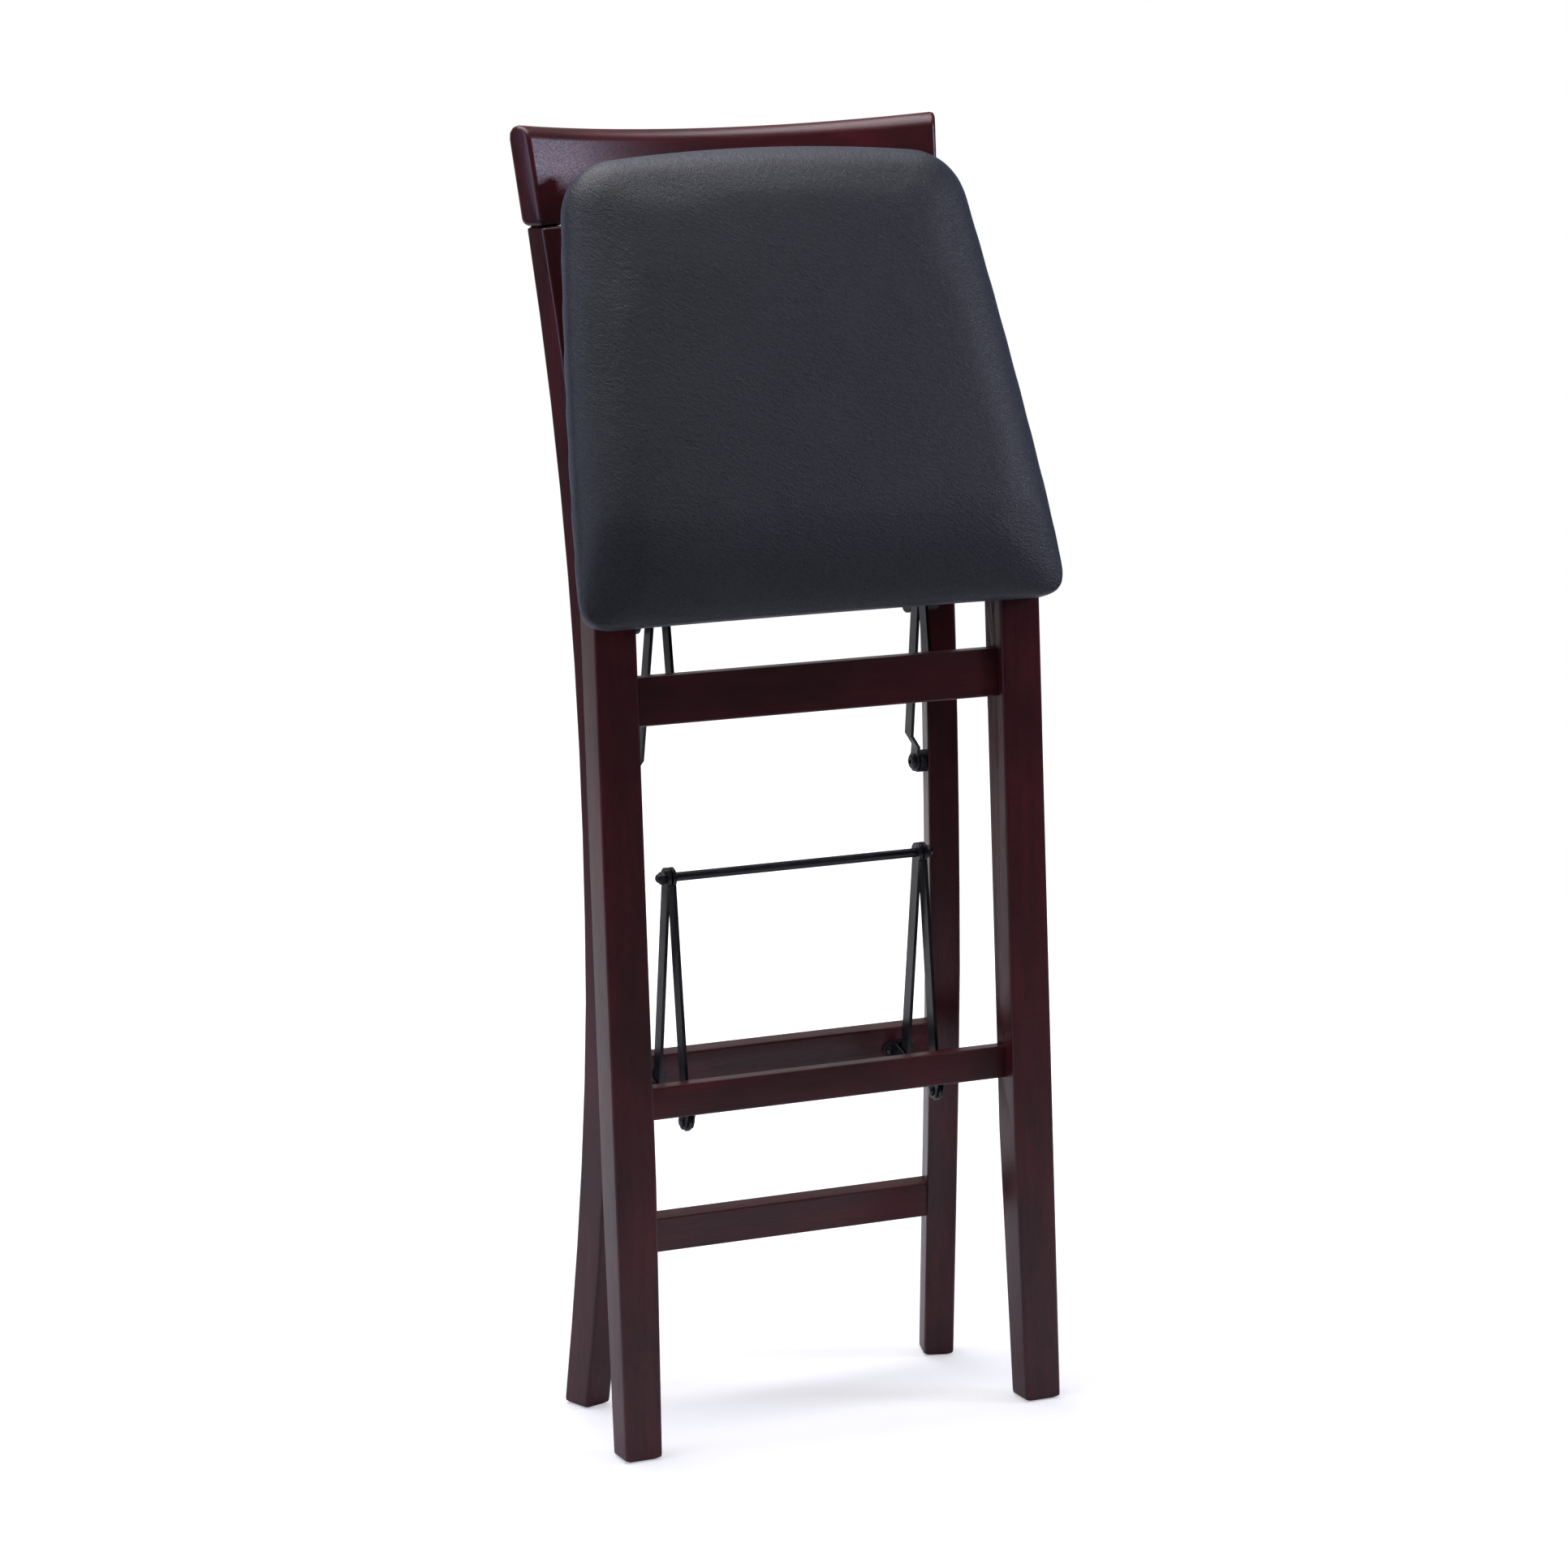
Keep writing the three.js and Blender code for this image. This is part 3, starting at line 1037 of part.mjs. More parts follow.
// A piece drawn for the right side, or its mirror image for the left.
function onSide(side, geometry) {
  if (side > 0) return geometry;
  const copy = geometry.clone().scale(-1, 1, 1);
  const index = copy.index.array;
  for (let i = 0; i < index.length; i += 3) [index[i], index[i + 1]] = [index[i + 1], index[i]];
  return copy;
}

function buildSeat() {
  const pivot = frontPoint(FRONT_LEG_DEPTH / 2, SEAT_PIVOT_HEIGHT);
  seat.position.set(0, pivot.x, pivot.y);
  seat.rotation.x = SEAT_SLOPE_FOLDED;
  stool.add(seat);
  const bores = [LEFT, RIGHT].flatMap((side) => bracketScrewPlaces().map((y) => (
    onSide(side, placed(bracketScrew(CLEARANCE), 0, y, 0)))));
  addPiece(seat, 'seat_board', cut(boardBody(0), ...bores), boardFinish);
  addPiece(seat, 'seat_cushion', cushionBody(), vinylFinish);
  for (const side of [LEFT, RIGHT]) {
    const name = sideName(side);
    addPiece(seat, `seat_bearer_${name}`, bearerBody(side), woodFinish);
    addPiece(seat, `seat_hinge_bracket_${name}`, onSide(side, hingeBracket()), steelFinish);
    bracketScrewPlaces().forEach((y, index) => addPiece(seat, `seat_bracket_screw_${name}_${index + 1}`,
      onSide(side, placed(bracketScrew(0), 0, y, 0)), steelFinish));
  }
}

buildBackFrame();
buildFrontFrame();
buildLowerStays();
buildUpperStays();
buildSeat();

// The origin is at floor level, under the middle of the folded stool's own bounding box.
const bounds = new THREE.Box3().setFromObject(stool, true);
stool.position.y = -(bounds.min.y + bounds.max.y) / 2;

export default stool;
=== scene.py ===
"""Folding bar stool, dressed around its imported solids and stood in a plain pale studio.

The stool is put away flat: a stained wooden front frame inside a sabre-legged back frame, a
vinyl pad turned up against the back, and two pairs of black steel stays between the frames.
Lengths are metres, X across, Y from front to back, Z up.
"""

from __future__ import annotations

import functools
import json
import logging
import math
from collections.abc import Iterable
from dataclasses import dataclass, field
from enum import Enum

import bmesh
import bpy
from mathutils import Matrix, Vector


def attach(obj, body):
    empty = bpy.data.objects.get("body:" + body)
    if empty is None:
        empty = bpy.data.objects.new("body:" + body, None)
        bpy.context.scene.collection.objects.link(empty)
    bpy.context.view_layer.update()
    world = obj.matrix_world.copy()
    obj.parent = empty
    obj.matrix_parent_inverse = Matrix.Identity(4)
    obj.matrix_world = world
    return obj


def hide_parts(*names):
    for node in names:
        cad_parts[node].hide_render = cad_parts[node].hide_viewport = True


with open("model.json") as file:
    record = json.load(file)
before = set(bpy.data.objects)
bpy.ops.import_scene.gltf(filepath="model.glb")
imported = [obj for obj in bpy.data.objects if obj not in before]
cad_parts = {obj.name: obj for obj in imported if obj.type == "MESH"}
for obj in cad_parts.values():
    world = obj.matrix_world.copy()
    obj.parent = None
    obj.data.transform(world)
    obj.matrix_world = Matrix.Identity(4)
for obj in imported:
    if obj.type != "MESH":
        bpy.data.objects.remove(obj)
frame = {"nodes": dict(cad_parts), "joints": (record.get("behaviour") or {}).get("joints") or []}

LOG = logging.getLogger("bar_stool")
MM = 0.001
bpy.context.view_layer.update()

Tree = bpy.types.NodeTree
Socket = bpy.types.NodeSocket
Span = tuple[float, float]

WELD = 0.004 * MM  # a solid's triangles share their corners this closely
CUT = 0.01 * MM  # a point this close to a cut lies on it
LEVEL = 0.1 * MM  # an edge that rises less than this lies flat
FLAT_DEG = 0.5  # faces that meet at less than this are one face
SHARP_DEG = 35.0  # edges sharper than this are rounded over
CRISP_DEG = 50.0  # edges sharper than this stay crisp in the shading
ALL_SMOOTH_DEG = 180.0
ROUND = 0.5  # the profile of a circular rounding
ROUNDING_STEPS = 2
STEEP = 0.5  # a face whose normal rises less than this is a side
TINY = 1e-9

PLASTIC_EDGE = 0.4 * MM
CLEVIS_EDGE = 0.25 * MM
BAR_EDGE = 0.5 * MM
NUT_EDGE = 0.2 * MM
BEARER_EDGE = 0.8 * MM
BRACKET_EDGE = 0.3 * MM

# A foot's rounding is cut at these shares of its height, closer together near the floor.
FOOT_CUTS = (0.05, 0.18, 0.38, 0.66, 1.0)
BELOW_CUTS = 0.999


class Side(Enum):
    """The two sides of the stool, as seen from the front."""

    LEFT = -1
    RIGHT = 1

    @property
    def word(self) -> str:
        """The side's name as the solids spell it."""
        return self.name.lower()


class Grain(Enum):
    """How the fibres of a wooden piece run, as a turn of its pattern in degrees."""

    UPRIGHT = (0.0, 0.0, 0.0)
    CROSSWISE = (0.0, 90.0, 0.0)
    ALONG_SEAT = (-20.0, 0.0, 0.0)
    ACROSS_SEAT = (-20.0, 90.0, 0.0)


# Materials


def linear(hex_colour: str) -> tuple[float, float, float, float]:
    """Turns an sRGB hex colour into the linear colour that a socket takes.

    Args:
        hex_colour: six hex digits after a hash sign.

    Returns:
        Red, green, blue and an alpha of one.
    """
    shares = [int(hex_colour[i : i + 2], 16) / 255 for i in (1, 3, 5)]
    return (*(s / 12.92 if s <= 0.04045 else ((s + 0.055) / 1.055) ** 2.4 for s in shares), 1.0)


def add_node(
    tree: Tree,
    kind: str,
    inputs: dict[str | int, object] | None = None,
    stops: Iterable[tuple[float, str]] = (),
    **settings: object,
) -> bpy.types.Node:
    """Adds a node with its settings, and fills or links its inputs.

    Args:
        tree: the node tree to add to.
        kind: the node's type name.
        inputs: a value or another node's socket for each input, by name or index.
        stops: the places and hex colours of a colour ramp.
        settings: the node's own properties.

    Returns:
        The new node.
    """
    node = tree.nodes.new(kind)
    for name, value in settings.items():
        setattr(node, name, value)
    for key, value in (inputs or {}).items():
        if isinstance(value, Socket):
            tree.links.new(value, node.inputs[key])
        else:
            node.inputs[key].default_value = value
    for index, (place, colour) in enumerate(stops):
        elements = node.color_ramp.elements
        element = elements[index] if index < len(elements) else elements.new(place)
        element.position = place
        element.color = linear(colour)
    return node


@dataclass(frozen=True)
class Finish:
    """What every finish shares: its name, its colour and how it shines."""

    name: str
    colour: str
    roughness: float
    ior: float = 1.5
    sheen: float = 0.0
    sheen_roughness: float = 0.4
    sheen_tint: str = "#ffffff"

    def material(self) -> bpy.types.Material:
        """Builds the finish's node tree, once for all the pieces that wear it."""
        return built(self)

    def dress(self, tree: Tree, shader: bpy.types.Node, place: Socket) -> None:
        """Links the finish's patterns to the shader.

        Args:
            tree: the material's node tree.
            shader: its Principled BSDF.
            place: the Object coordinates.
        """

    def pattern(
        self,
        tree: Tree,
        place: Socket,
        size_mm: tuple[float, float, float],
        turn: tuple[float, float, float] = (0.0, 0.0, 0.0),
        detail: float = 3.0,
    ) -> Socket:
        """A noise whose features have a real size.

        Args:
            tree: the material's node tree.
            place: the coordinates in metres.
            size_mm: the features' size along each of the pattern's own axes.
            turn: the pattern's turn in degrees.
            detail: how many finer layers it has.

        Returns:
            The noise's value socket.
        """
        mapping = add_node(
            tree,
            "ShaderNodeMapping",
            {
                "Vector": place,
                "Rotation": tuple(math.radians(a) for a in turn),
                "Scale": tuple(s * MM for s in size_mm),
            },
            vector_type="TEXTURE",
        )
        noise = add_node(
            tree,
            "ShaderNodeTexNoise",
            {"Vector": mapping.outputs[0], "Scale": 1.0, "Detail": detail, "Roughness": 0.55},
        )
        return noise.outputs[0]

    def vary_roughness(
        self, tree: Tree, shader: bpy.types.Node, value: Socket, span: Span, change: Span
    ) -> None:
        """Lets a pattern make the surface duller or glossier.

        Args:
            tree: the material's node tree.
            shader: its Principled BSDF.
            value: the pattern's value.
            span: the part of it that counts.
            change: what the ends of the span add to the roughness.
        """
        out = (self.roughness + change[0], self.roughness + change[1])
        tree.links.new(ranged(tree, value, span, out), shader.inputs["Roughness"])


@functools.cache
def built(finish: Finish) -> bpy.types.Material:
    """Makes the material of a finish.

    Args:
        finish: which finish.

    Returns:
        The material, named for what it is.
    """
    material = bpy.data.materials.new(finish.name)
    material.use_nodes = True
    tree = material.node_tree
    tree.nodes.clear()
    shader = add_node(
        tree,
        "ShaderNodeBsdfPrincipled",
        {
            "Base Color": linear(finish.colour),
            "Roughness": finish.roughness,
            "IOR": finish.ior,
            "Sheen Weight": finish.sheen,
            "Sheen Roughness": finish.sheen_roughness,
            "Sheen Tint": linear(finish.sheen_tint),
        },
    )
    add_node(tree, "ShaderNodeOutputMaterial", {"Surface": shader.outputs[0]})
    place = add_node(tree, "ShaderNodeTexCoord").outputs["Object"]
    finish.dress(tree, shader, place)
    return material


def mixed(tree: Tree, share: Socket, low: object, high: object) -> Socket:
    """Mixes two colours by a share.

    Args:
        tree: the material's node tree.
        share: the socket that gives the share of the second colour.
        low: the first colour or socket.
        high: the second colour or socket.

    Returns:
        The mixed colour.
    """
    inputs = {0: share, 6: low, 7: high}  # the places of the share and of the two colours
    return add_node(tree, "ShaderNodeMix", inputs, data_type="RGBA").outputs[2]


def ranged(tree: Tree, value: Socket, span: Span, out: Span) -> Socket:
    """Maps a span of a value onto another span, held at both ends.

    Args:
        tree: the material's node tree.
        value: the value to map.
        span: where the span starts and ends.
        out: what its ends become.

    Returns:
        The mapped value.
    """
    node = add_node(
        tree,
        "ShaderNodeMapRange",
        {"Value": value, "From Min": span[0], "From Max": span[1], "To Min": out[0], "To Max": out[1]},
    )
    return node.outputs[0]


def bumped(
    tree: Tree, height: Socket, strength: float, depth_mm: float, under: Socket | None = None, **how: bool
) -> Socket:
    """Raises a pattern from the surface.

    Args:
        tree: the material's node tree.
        height: the pattern's value.
        strength: how much of it shows.
        depth_mm: how far it rises.
        under: a coarser or finer relief that it lies on.
        how: the bump node's own properties.

    Returns:
        The bent normal.
    """
    inputs = {"Strength": strength, "Distance": depth_mm * MM, "Height": height}
    if under is not None:
        inputs["Normal"] = under
    return add_node(tree, "ShaderNodeBump", inputs, **how).outputs[0]


@dataclass(frozen=True)
class StainedWood(Finish):
    """Rubberwood, planed and sanded, spray-stained dark and lacquered satin.

    The stain sits darker in the pores and in broad clouds, and the lacquer has a faint peel.
    The pores are drawn wider than real ones, so that they show from a step away.
    """

    name: str = "stained_rubberwood_upright"
    colour: str = "#3b171a"
    roughness: float = 0.33
    ior: float = 1.48
    grain: Grain = Grain.UPRIGHT
    deep: str = "#220a0c"
    warm: str = "#561e24"
    pore_width_mm: float = 0.9
    pore_length_mm: float = 22.0
    pore_span: Span = (0.5, 0.72)
    pore_share: float = 0.4
    pore_depth_mm: float = 0.12
    figure_width_mm: float = 7.0
    figure_length_mm: float = 130.0
    figure_span: Span = (0.42, 0.62)
    figure_share: float = 0.28
    cloud_mm: float = 55.0
    cloud_stretch: float = 2.4
    cloud_span: Span = (0.35, 0.68)
    shine_span: Span = (0.3, 0.75)
    shine_change: Span = (-0.05, 0.1)
    peel_mm: float = 2.4
    peel_depth_mm: float = 0.14

    def dress(self, tree: Tree, shader: bpy.types.Node, place: Socket) -> None:
        """Links grain, clouds and lacquer peel."""
        turn = self.grain.value
        pore = (self.pore_width_mm, self.pore_width_mm, self.pore_length_mm)
        pores = self.pattern(tree, place, pore, turn, detail=4.0)
        band = (self.figure_width_mm, self.figure_width_mm, self.figure_length_mm)
        figure = self.pattern(tree, place, band, turn)
        cloud = (self.cloud_mm, self.cloud_mm, self.cloud_stretch * self.cloud_mm)
        clouds = self.pattern(tree, place, cloud, turn, detail=2.0)
        deep = linear(self.deep)
        warmth = ranged(tree, clouds, self.cloud_span, (0.0, 1.0))
        tint = mixed(tree, warmth, linear(self.colour), linear(self.warm))
        tint = mixed(tree, ranged(tree, figure, self.figure_span, (self.figure_share, 0.0)), tint, deep)
        tint = mixed(tree, ranged(tree, pores, self.pore_span, (0.0, self.pore_share)), tint, deep)
        tree.links.new(tint, shader.inputs["Base Color"])
        self.vary_roughness(tree, shader, pores, self.shine_span, self.shine_change)
        peel = self.pattern(tree, place, (self.peel_mm,) * 3, detail=1.0)
        grooves = bumped(tree, pores, 0.35, self.pore_depth_mm, invert=True)
        skin = bumped(tree, peel, 0.4, self.peel_depth_mm, grooves)
        tree.links.new(skin, shader.inputs["Normal"])


@dataclass(frozen=True)
class PowderCoat(Finish):
    """Mild steel bar and sheet under black powder coat, baked to a fine even pebble."""

    name: str = "powder_coated_steel"
    colour: str = "#16171a"
    roughness: float = 0.36
    pebble_mm: float = 0.9
    pebble_depth_mm: float = 0.1
    dust: str = "#2b2c30"
    dust_mm: float = 18.0
    dust_span: Span = (0.45, 0.75)
    dust_share: float = 0.5
    shine_span: Span = (0.3, 0.7)
    shine_change: Span = (-0.06, 0.08)

    def dress(self, tree: Tree, shader: bpy.types.Node, place: Socket) -> None:
        """Links the pebble and a faint unevenness of tone."""
        pebble = self.pattern(tree, place, (self.pebble_mm,) * 3, detail=2.0)
        tone = self.pattern(tree, place, (self.dust_mm,) * 3, detail=3.0)
        dusty = ranged(tree, tone, self.dust_span, (0.0, self.dust_share))
        tint = mixed(tree, dusty, linear(self.colour), linear(self.dust))
        tree.links.new(tint, shader.inputs["Base Color"])
        self.vary_roughness(tree, shader, tone, self.shine_span, self.shine_change)
        bump = bumped(tree, pebble, 0.3, self.pebble_depth_mm)
        tree.links.new(bump, shader.inputs["Normal"])


@dataclass(frozen=True)
class MouldedPlastic(Finish):
    """Black polyamide, injection moulded in a spark-eroded tool, so it has a fine dull skin."""

    name: str = "moulded_polyamide"
    colour: str = "#121213"
    roughness: float = 0.5
    grey: str = "#242426"
    grey_span: Span = (0.4, 0.8)
    grey_share: float = 0.4
    skin_mm: float = 0.6
    skin_depth_mm: float = 0.06

    def dress(self, tree: Tree, shader: bpy.types.Node, place: Socket) -> None:
        """Links the tool's skin and a slight greying."""
        skin = self.pattern(tree, place, (self.skin_mm,) * 3, detail=2.0)
        greyed = ranged(tree, skin, self.grey_span, (0.0, self.grey_share))
        tint = mixed(tree, greyed, linear(self.colour), linear(self.grey))
        tree.links.new(tint, shader.inputs["Base Color"])
        bump = bumped(tree, skin, 0.3, self.skin_depth_mm)
        tree.links.new(bump, shader.inputs["Normal"])


@dataclass(frozen=True)
class GrainedVinyl(Finish):
    """Charcoal vinyl cloth, embossed with a fine leather grain and pulled tight over foam.

    Shallow cells break the highlights. The valleys between them are duller, and painted darker as
    painted shade. The cells are drawn about twice as wide as real ones, so that they show from a step
    away.
    """

    name: str = "grained_vinyl"
    colour: str = "#292b2d"
    roughness: float = 0.43
    sheen: float = 0.24
    sheen_tint: str = "#8ea6dc"
    cell_mm: float = 1.9
    cell_depth_mm: float = 0.2
    wall_span: Span = (0.0, 0.22)
    bend_mm: float = 3.5
    wander_mm: float = 0.8
    crease_mm: float = 5.5
    crease_width_mm: float = 1.6
    crease_turn: tuple[float, float, float] = (35.0, 20.0, 0.0)
    crease_depth_mm: float = 0.9
    # painted shade: the darker colour laid in the valleys between the grain's cells
    valley: str = "#1a1b1c"
    valley_dulling: float = 0.12
    pale: str = "#303234"
    pale_mm: float = 70.0
    pale_span: Span = (0.4, 0.7)
    pale_share: float = 0.25

    def dress(self, tree: Tree, shader: bpy.types.Node, place: Socket) -> None:
        """Links the embossed cells, the crease lines and the tone."""
        bent = self.pattern(tree, place, (self.bend_mm,) * 3, detail=2.0)
        shifted = {0: place, 1: self.offset(tree, bent)}
        wander = add_node(tree, "ShaderNodeVectorMath", shifted, operation="ADD")
        cells = add_node(
            tree,
            "ShaderNodeTexVoronoi",
            {"Vector": wander.outputs[0], "Scale": 1 / (self.cell_mm * MM)},
            feature="DISTANCE_TO_EDGE",
        )
        height = ranged(tree, cells.outputs[0], self.wall_span, (0.0, 1.0))
        line = (self.crease_mm, self.crease_mm, self.crease_width_mm)
        crease = self.pattern(tree, place, line, self.crease_turn, detail=4.0)
        tone = self.pattern(tree, place, (self.pale_mm,) * 3, detail=2.0)
        # the grain's valleys get the painted shade colour, and the cell tops the vinyl's own colour
        tint = mixed(tree, height, linear(self.valley), linear(self.colour))
        paler = ranged(tree, tone, self.pale_span, (0.0, self.pale_share))
        tint = mixed(tree, paler, tint, linear(self.pale))
        tree.links.new(tint, shader.inputs["Base Color"])
        self.vary_roughness(tree, shader, height, (0.0, 1.0), (self.valley_dulling, 0.0))
        fine = bumped(tree, height, 0.6, self.cell_depth_mm)
        broad = bumped(tree, crease, 0.6, self.crease_depth_mm, fine)
        tree.links.new(broad, shader.inputs["Normal"])

    def offset(self, tree: Tree, value: Socket) -> Socket:
        """A small wander in metres, so that the cells are never straight."""
        return ranged(tree, value, (0.0, 1.0), (-self.wander_mm * MM, self.wander_mm * MM))


@dataclass(frozen=True)
class Plywood(Finish):
    """Rotary-cut plywood, left bare under the seat, with a broad faint figure.

    Its fibres are drawn wider than real ones, so that they show from a step away.
    """

    name: str = "bare_plywood"
    colour: str = "#a9875c"
    roughness: float = 0.62
    dark: str = "#7d5d3a"
    figure_mm: tuple[float, float, float] = (7.0, 7.0, 320.0)
    figure_span: Span = (0.4, 0.65)
    figure_share: float = 0.5
    fibre_mm: tuple[float, float, float] = (0.8, 0.8, 18.0)
    fibre_span: Span = (0.5, 0.7)
    fibre_share: float = 0.45
    fibre_depth_mm: float = 0.15

    def dress(self, tree: Tree, shader: bpy.types.Node, place: Socket) -> None:
        """Links the veneer's figure and its fibres."""
        turn = Grain.ACROSS_SEAT.value
        dark = linear(self.dark)
        figure = self.pattern(tree, place, self.figure_mm, turn, detail=2.0)
        fibre = self.pattern(tree, place, self.fibre_mm, turn, detail=3.0)
        banded = ranged(tree, figure, self.figure_span, (0.0, self.figure_share))
        tint = mixed(tree, banded, linear(self.colour), dark)
        tint = mixed(tree, ranged(tree, fibre, self.fibre_span, (0.0, self.fibre_share)), tint, dark)
        tree.links.new(tint, shader.inputs["Base Color"])
        bump = bumped(tree, fibre, 0.4, self.fibre_depth_mm)
        tree.links.new(bump, shader.inputs["Normal"])


UPRIGHT_WOOD = StainedWood()
CROSSWISE_WOOD = StainedWood(name="stained_rubberwood_crosswise", grain=Grain.CROSSWISE)
SEAT_WOOD = StainedWood(name="stained_rubberwood_bearer", grain=Grain.ALONG_SEAT)
STEEL = PowderCoat()
PLASTIC = MouldedPlastic()
VINYL = GrainedVinyl()
BOARD = Plywood()


# Shared mesh work


def finished(
    name: str,
    shape: bmesh.types.BMesh,
    finish: Finish,
    body: str,
    replaced: Iterable[str] = (),
    smooth_deg: float = CRISP_DEG,
) -> bpy.types.Object:
    """Turns a shape into a piece: smooth where it is round, dressed, and riding on its body.

    Args:
        name: the piece's name.
        shape: its mesh, which is freed.
        finish: what it wears.
        body: the body that it rides on.
        replaced: the solids that it stands for.
        smooth_deg: edges sharper than this stay crisp.

    Returns:
        The piece.
    """
    mesh = bpy.data.meshes.new(name)
    shape.to_mesh(mesh)
    shape.free()
    for polygon in mesh.polygons:
        polygon.use_smooth = True
    mesh.set_sharp_from_angle(angle=math.radians(smooth_deg))
    mesh.materials.append(finish.material())
    piece = bpy.data.objects.new(name, mesh)
    bpy.context.scene.collection.objects.link(piece)
    even = piece.modifiers.new("even_normals", "WEIGHTED_NORMAL")
    even.keep_sharp = True
    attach(piece, body)
    nodes = list(replaced)
    if nodes:
        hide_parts(*nodes)
    LOG.info("%s rides on %s, %d faces", name, body, len(mesh.polygons))
    return piece


def merged_copy(node: str) -> bmesh.types.BMesh:
    """A copy of a solid's mesh with its loose triangles joined.

    Args:
        node: the solid's name.

    Returns:
        The copy.
    """
    shape = bmesh.new()
    shape.from_mesh(frame["nodes"][node].data)
    bmesh.ops.remove_doubles(shape, verts=shape.verts, dist=WELD)
    return shape


def softened(shape: bmesh.types.BMesh, radius: float) -> None:
    """Joins a plate's flat faces and rounds its sharp edges over.

    Args:
        shape: the mesh to change.
        radius: how far the rounding reaches in.
    """
    flat = math.radians(FLAT_DEG)
    bmesh.ops.dissolve_limit(shape, angle_limit=flat, verts=shape.verts, edges=shape.edges)
    sharp = [
        edge
        for edge in shape.edges
        if edge.is_manifold and edge.calc_face_angle() > math.radians(SHARP_DEG)
    ]
    bmesh.ops.bevel(
        shape,
        geom=sharp,
        offset=radius,
        offset_type="OFFSET",
        segments=ROUNDING_STEPS,
        profile=ROUND,
        affect="EDGES",
        material=-1,
        clamp_overlap=True,
    )


def worn_foot(shape: bmesh.types.BMesh, inward: float = 3.2 * MM, height: float = 5.5 * MM) -> None:
    """Rounds a leg's foot over all round, as it is sanded so that it doesn't splinter.

    Args:
        shape: the leg.
        inward: how far the sole is smaller than the leg on each side.
        height: where the rounding starts.
    """
    sole = min(vertex.co.z for vertex in shape.verts)
    for share in FOOT_CUTS:
        bmesh.ops.bisect_plane(
            shape,
            geom=shape.verts[:] + shape.edges[:] + shape.faces[:],
            plane_co=(0, 0, sole + share * height),
            plane_no=(0, 0, 1),
            dist=CUT,
        )
    low = [vertex for vertex in shape.verts if vertex.co.z < sole + BELOW_CUTS * height]
    spread = [[vertex.co[axis] for vertex in low] for axis in (0, 1)]
    middle = [(min(values) + max(values)) / 2 for values in spread]
    half = [(max(values) - min(values)) / 2 for values in spread]
    for vertex in low:
        short = 1 - (vertex.co.z - sole) / height
        step = inward * (1 - math.sqrt(1 - min(short, 1.0) ** 2))
        for axis in (0, 1):
            vertex.co[axis] -= (vertex.co[axis] - middle[axis]) * step / half[axis]


@dataclass
class Assembly:
    """A group of pieces that ride on one body or its neighbours."""

    pieces: list[bpy.types.Object] = field(default_factory=list)

    def carry_over(self, node: str, body: str, finish: Finish, slot: str, radius: float = 0.0) -> None:
        """Gives a solid of the right shape a smooth skin and its finish.

        Args:
            node: the solid's name.
            body: the body that it rides on.
            finish: what it wears.
            slot: the record's material slot; not used.
            radius: how much its sharp edges are rounded.
        """
        shape = merged_copy(node)
        if radius:
            softened(shape, radius)
        if "_leg_" in node:
            worn_foot(shape)
        self.pieces.append(finished(f"{node}_dressed", shape, finish, body, [node]))


@dataclass
class BackFrame(Assembly):
    """The upright frame: sabre legs, two rails and the bowed crest rail."""

    body: str = "rear_frame"

    def build(self) -> None:
        """Dresses the legs, the rails, the plastic pegs and spacers, and their steel."""
        for side in Side:
            self.carry_over(f"back_leg_{side.word}", self.body, UPRIGHT_WOOD, "frame")
            for kind in ("stay_spacer", "seat_rest_peg"):
                self.carry_over(f"{kind}_{side.word}", self.body, PLASTIC, "plastic", PLASTIC_EDGE)
            for kind in ("lower_back_clevis", "stay_bolt"):
                self.carry_over(f"{kind}_{side.word}", self.body, STEEL, "hardware", CLEVIS_EDGE)
            self.carry_over(f"lower_back_pin_{side.word}", self.body, STEEL, "hardware")
            for index in (1, 2):
                self.carry_over(f"lower_back_screw_{side.word}_{index}", self.body, STEEL, "hardware")
        for rail in ("upper_back_rail", "lower_back_rail", "crest_rail"):
            self.carry_over(rail, self.body, CROSSWISE_WOOD, "frame")


@dataclass
class FrontFrame(Assembly):
    """The leaning frame: straight tapered legs, the upper rail and the footrest."""

    body: str = "front_frame"

    def build(self) -> None:
        """Dresses the legs, the rails and the steel that they carry."""
        for side in Side:
            self.carry_over(f"front_leg_{side.word}", self.body, UPRIGHT_WOOD, "frame")
            self.carry_over(f"seat_hinge_pin_{side.word}", self.body, STEEL, "hardware")
            for level in ("lower", "upper"):
                clevis = f"{level}_front_clevis_{side.word}"
                self.carry_over(clevis, self.body, STEEL, "hardware", CLEVIS_EDGE)
                self.carry_over(f"{level}_front_pin_{side.word}", self.body, STEEL, "hardware")
        for rail in ("upper_front_rail", "footrest_rail"):
            self.carry_over(rail, self.body, CROSSWISE_WOOD, "frame")


@dataclass
class Stays(Assembly):
    """The folding steel: four bars below with their cross rod, and four above."""

    def build(self) -> None:
        """Dresses each bar on the body that it turns with."""
        for side in Side:
            for level in ("lower", "upper"):
                for end in ("back", "front"):
                    bar = f"{level}_{end}_stay"
                    self.carry_over(f"{bar}_{side.word}", f"{bar}s", STEEL, "hardware", BAR_EDGE)
            self.carry_over(f"upper_apex_rivet_{side.word}", "upper_back_stays", STEEL, "hardware")
            for kind in ("apex_washer", "apex_cap_nut"):
                self.carry_over(f"{kind}_{side.word}", "lower_back_stays", STEEL, "hardware", NUT_EDGE)
        self.carry_over("cross_rod", "lower_back_stays", STEEL, "hardware")


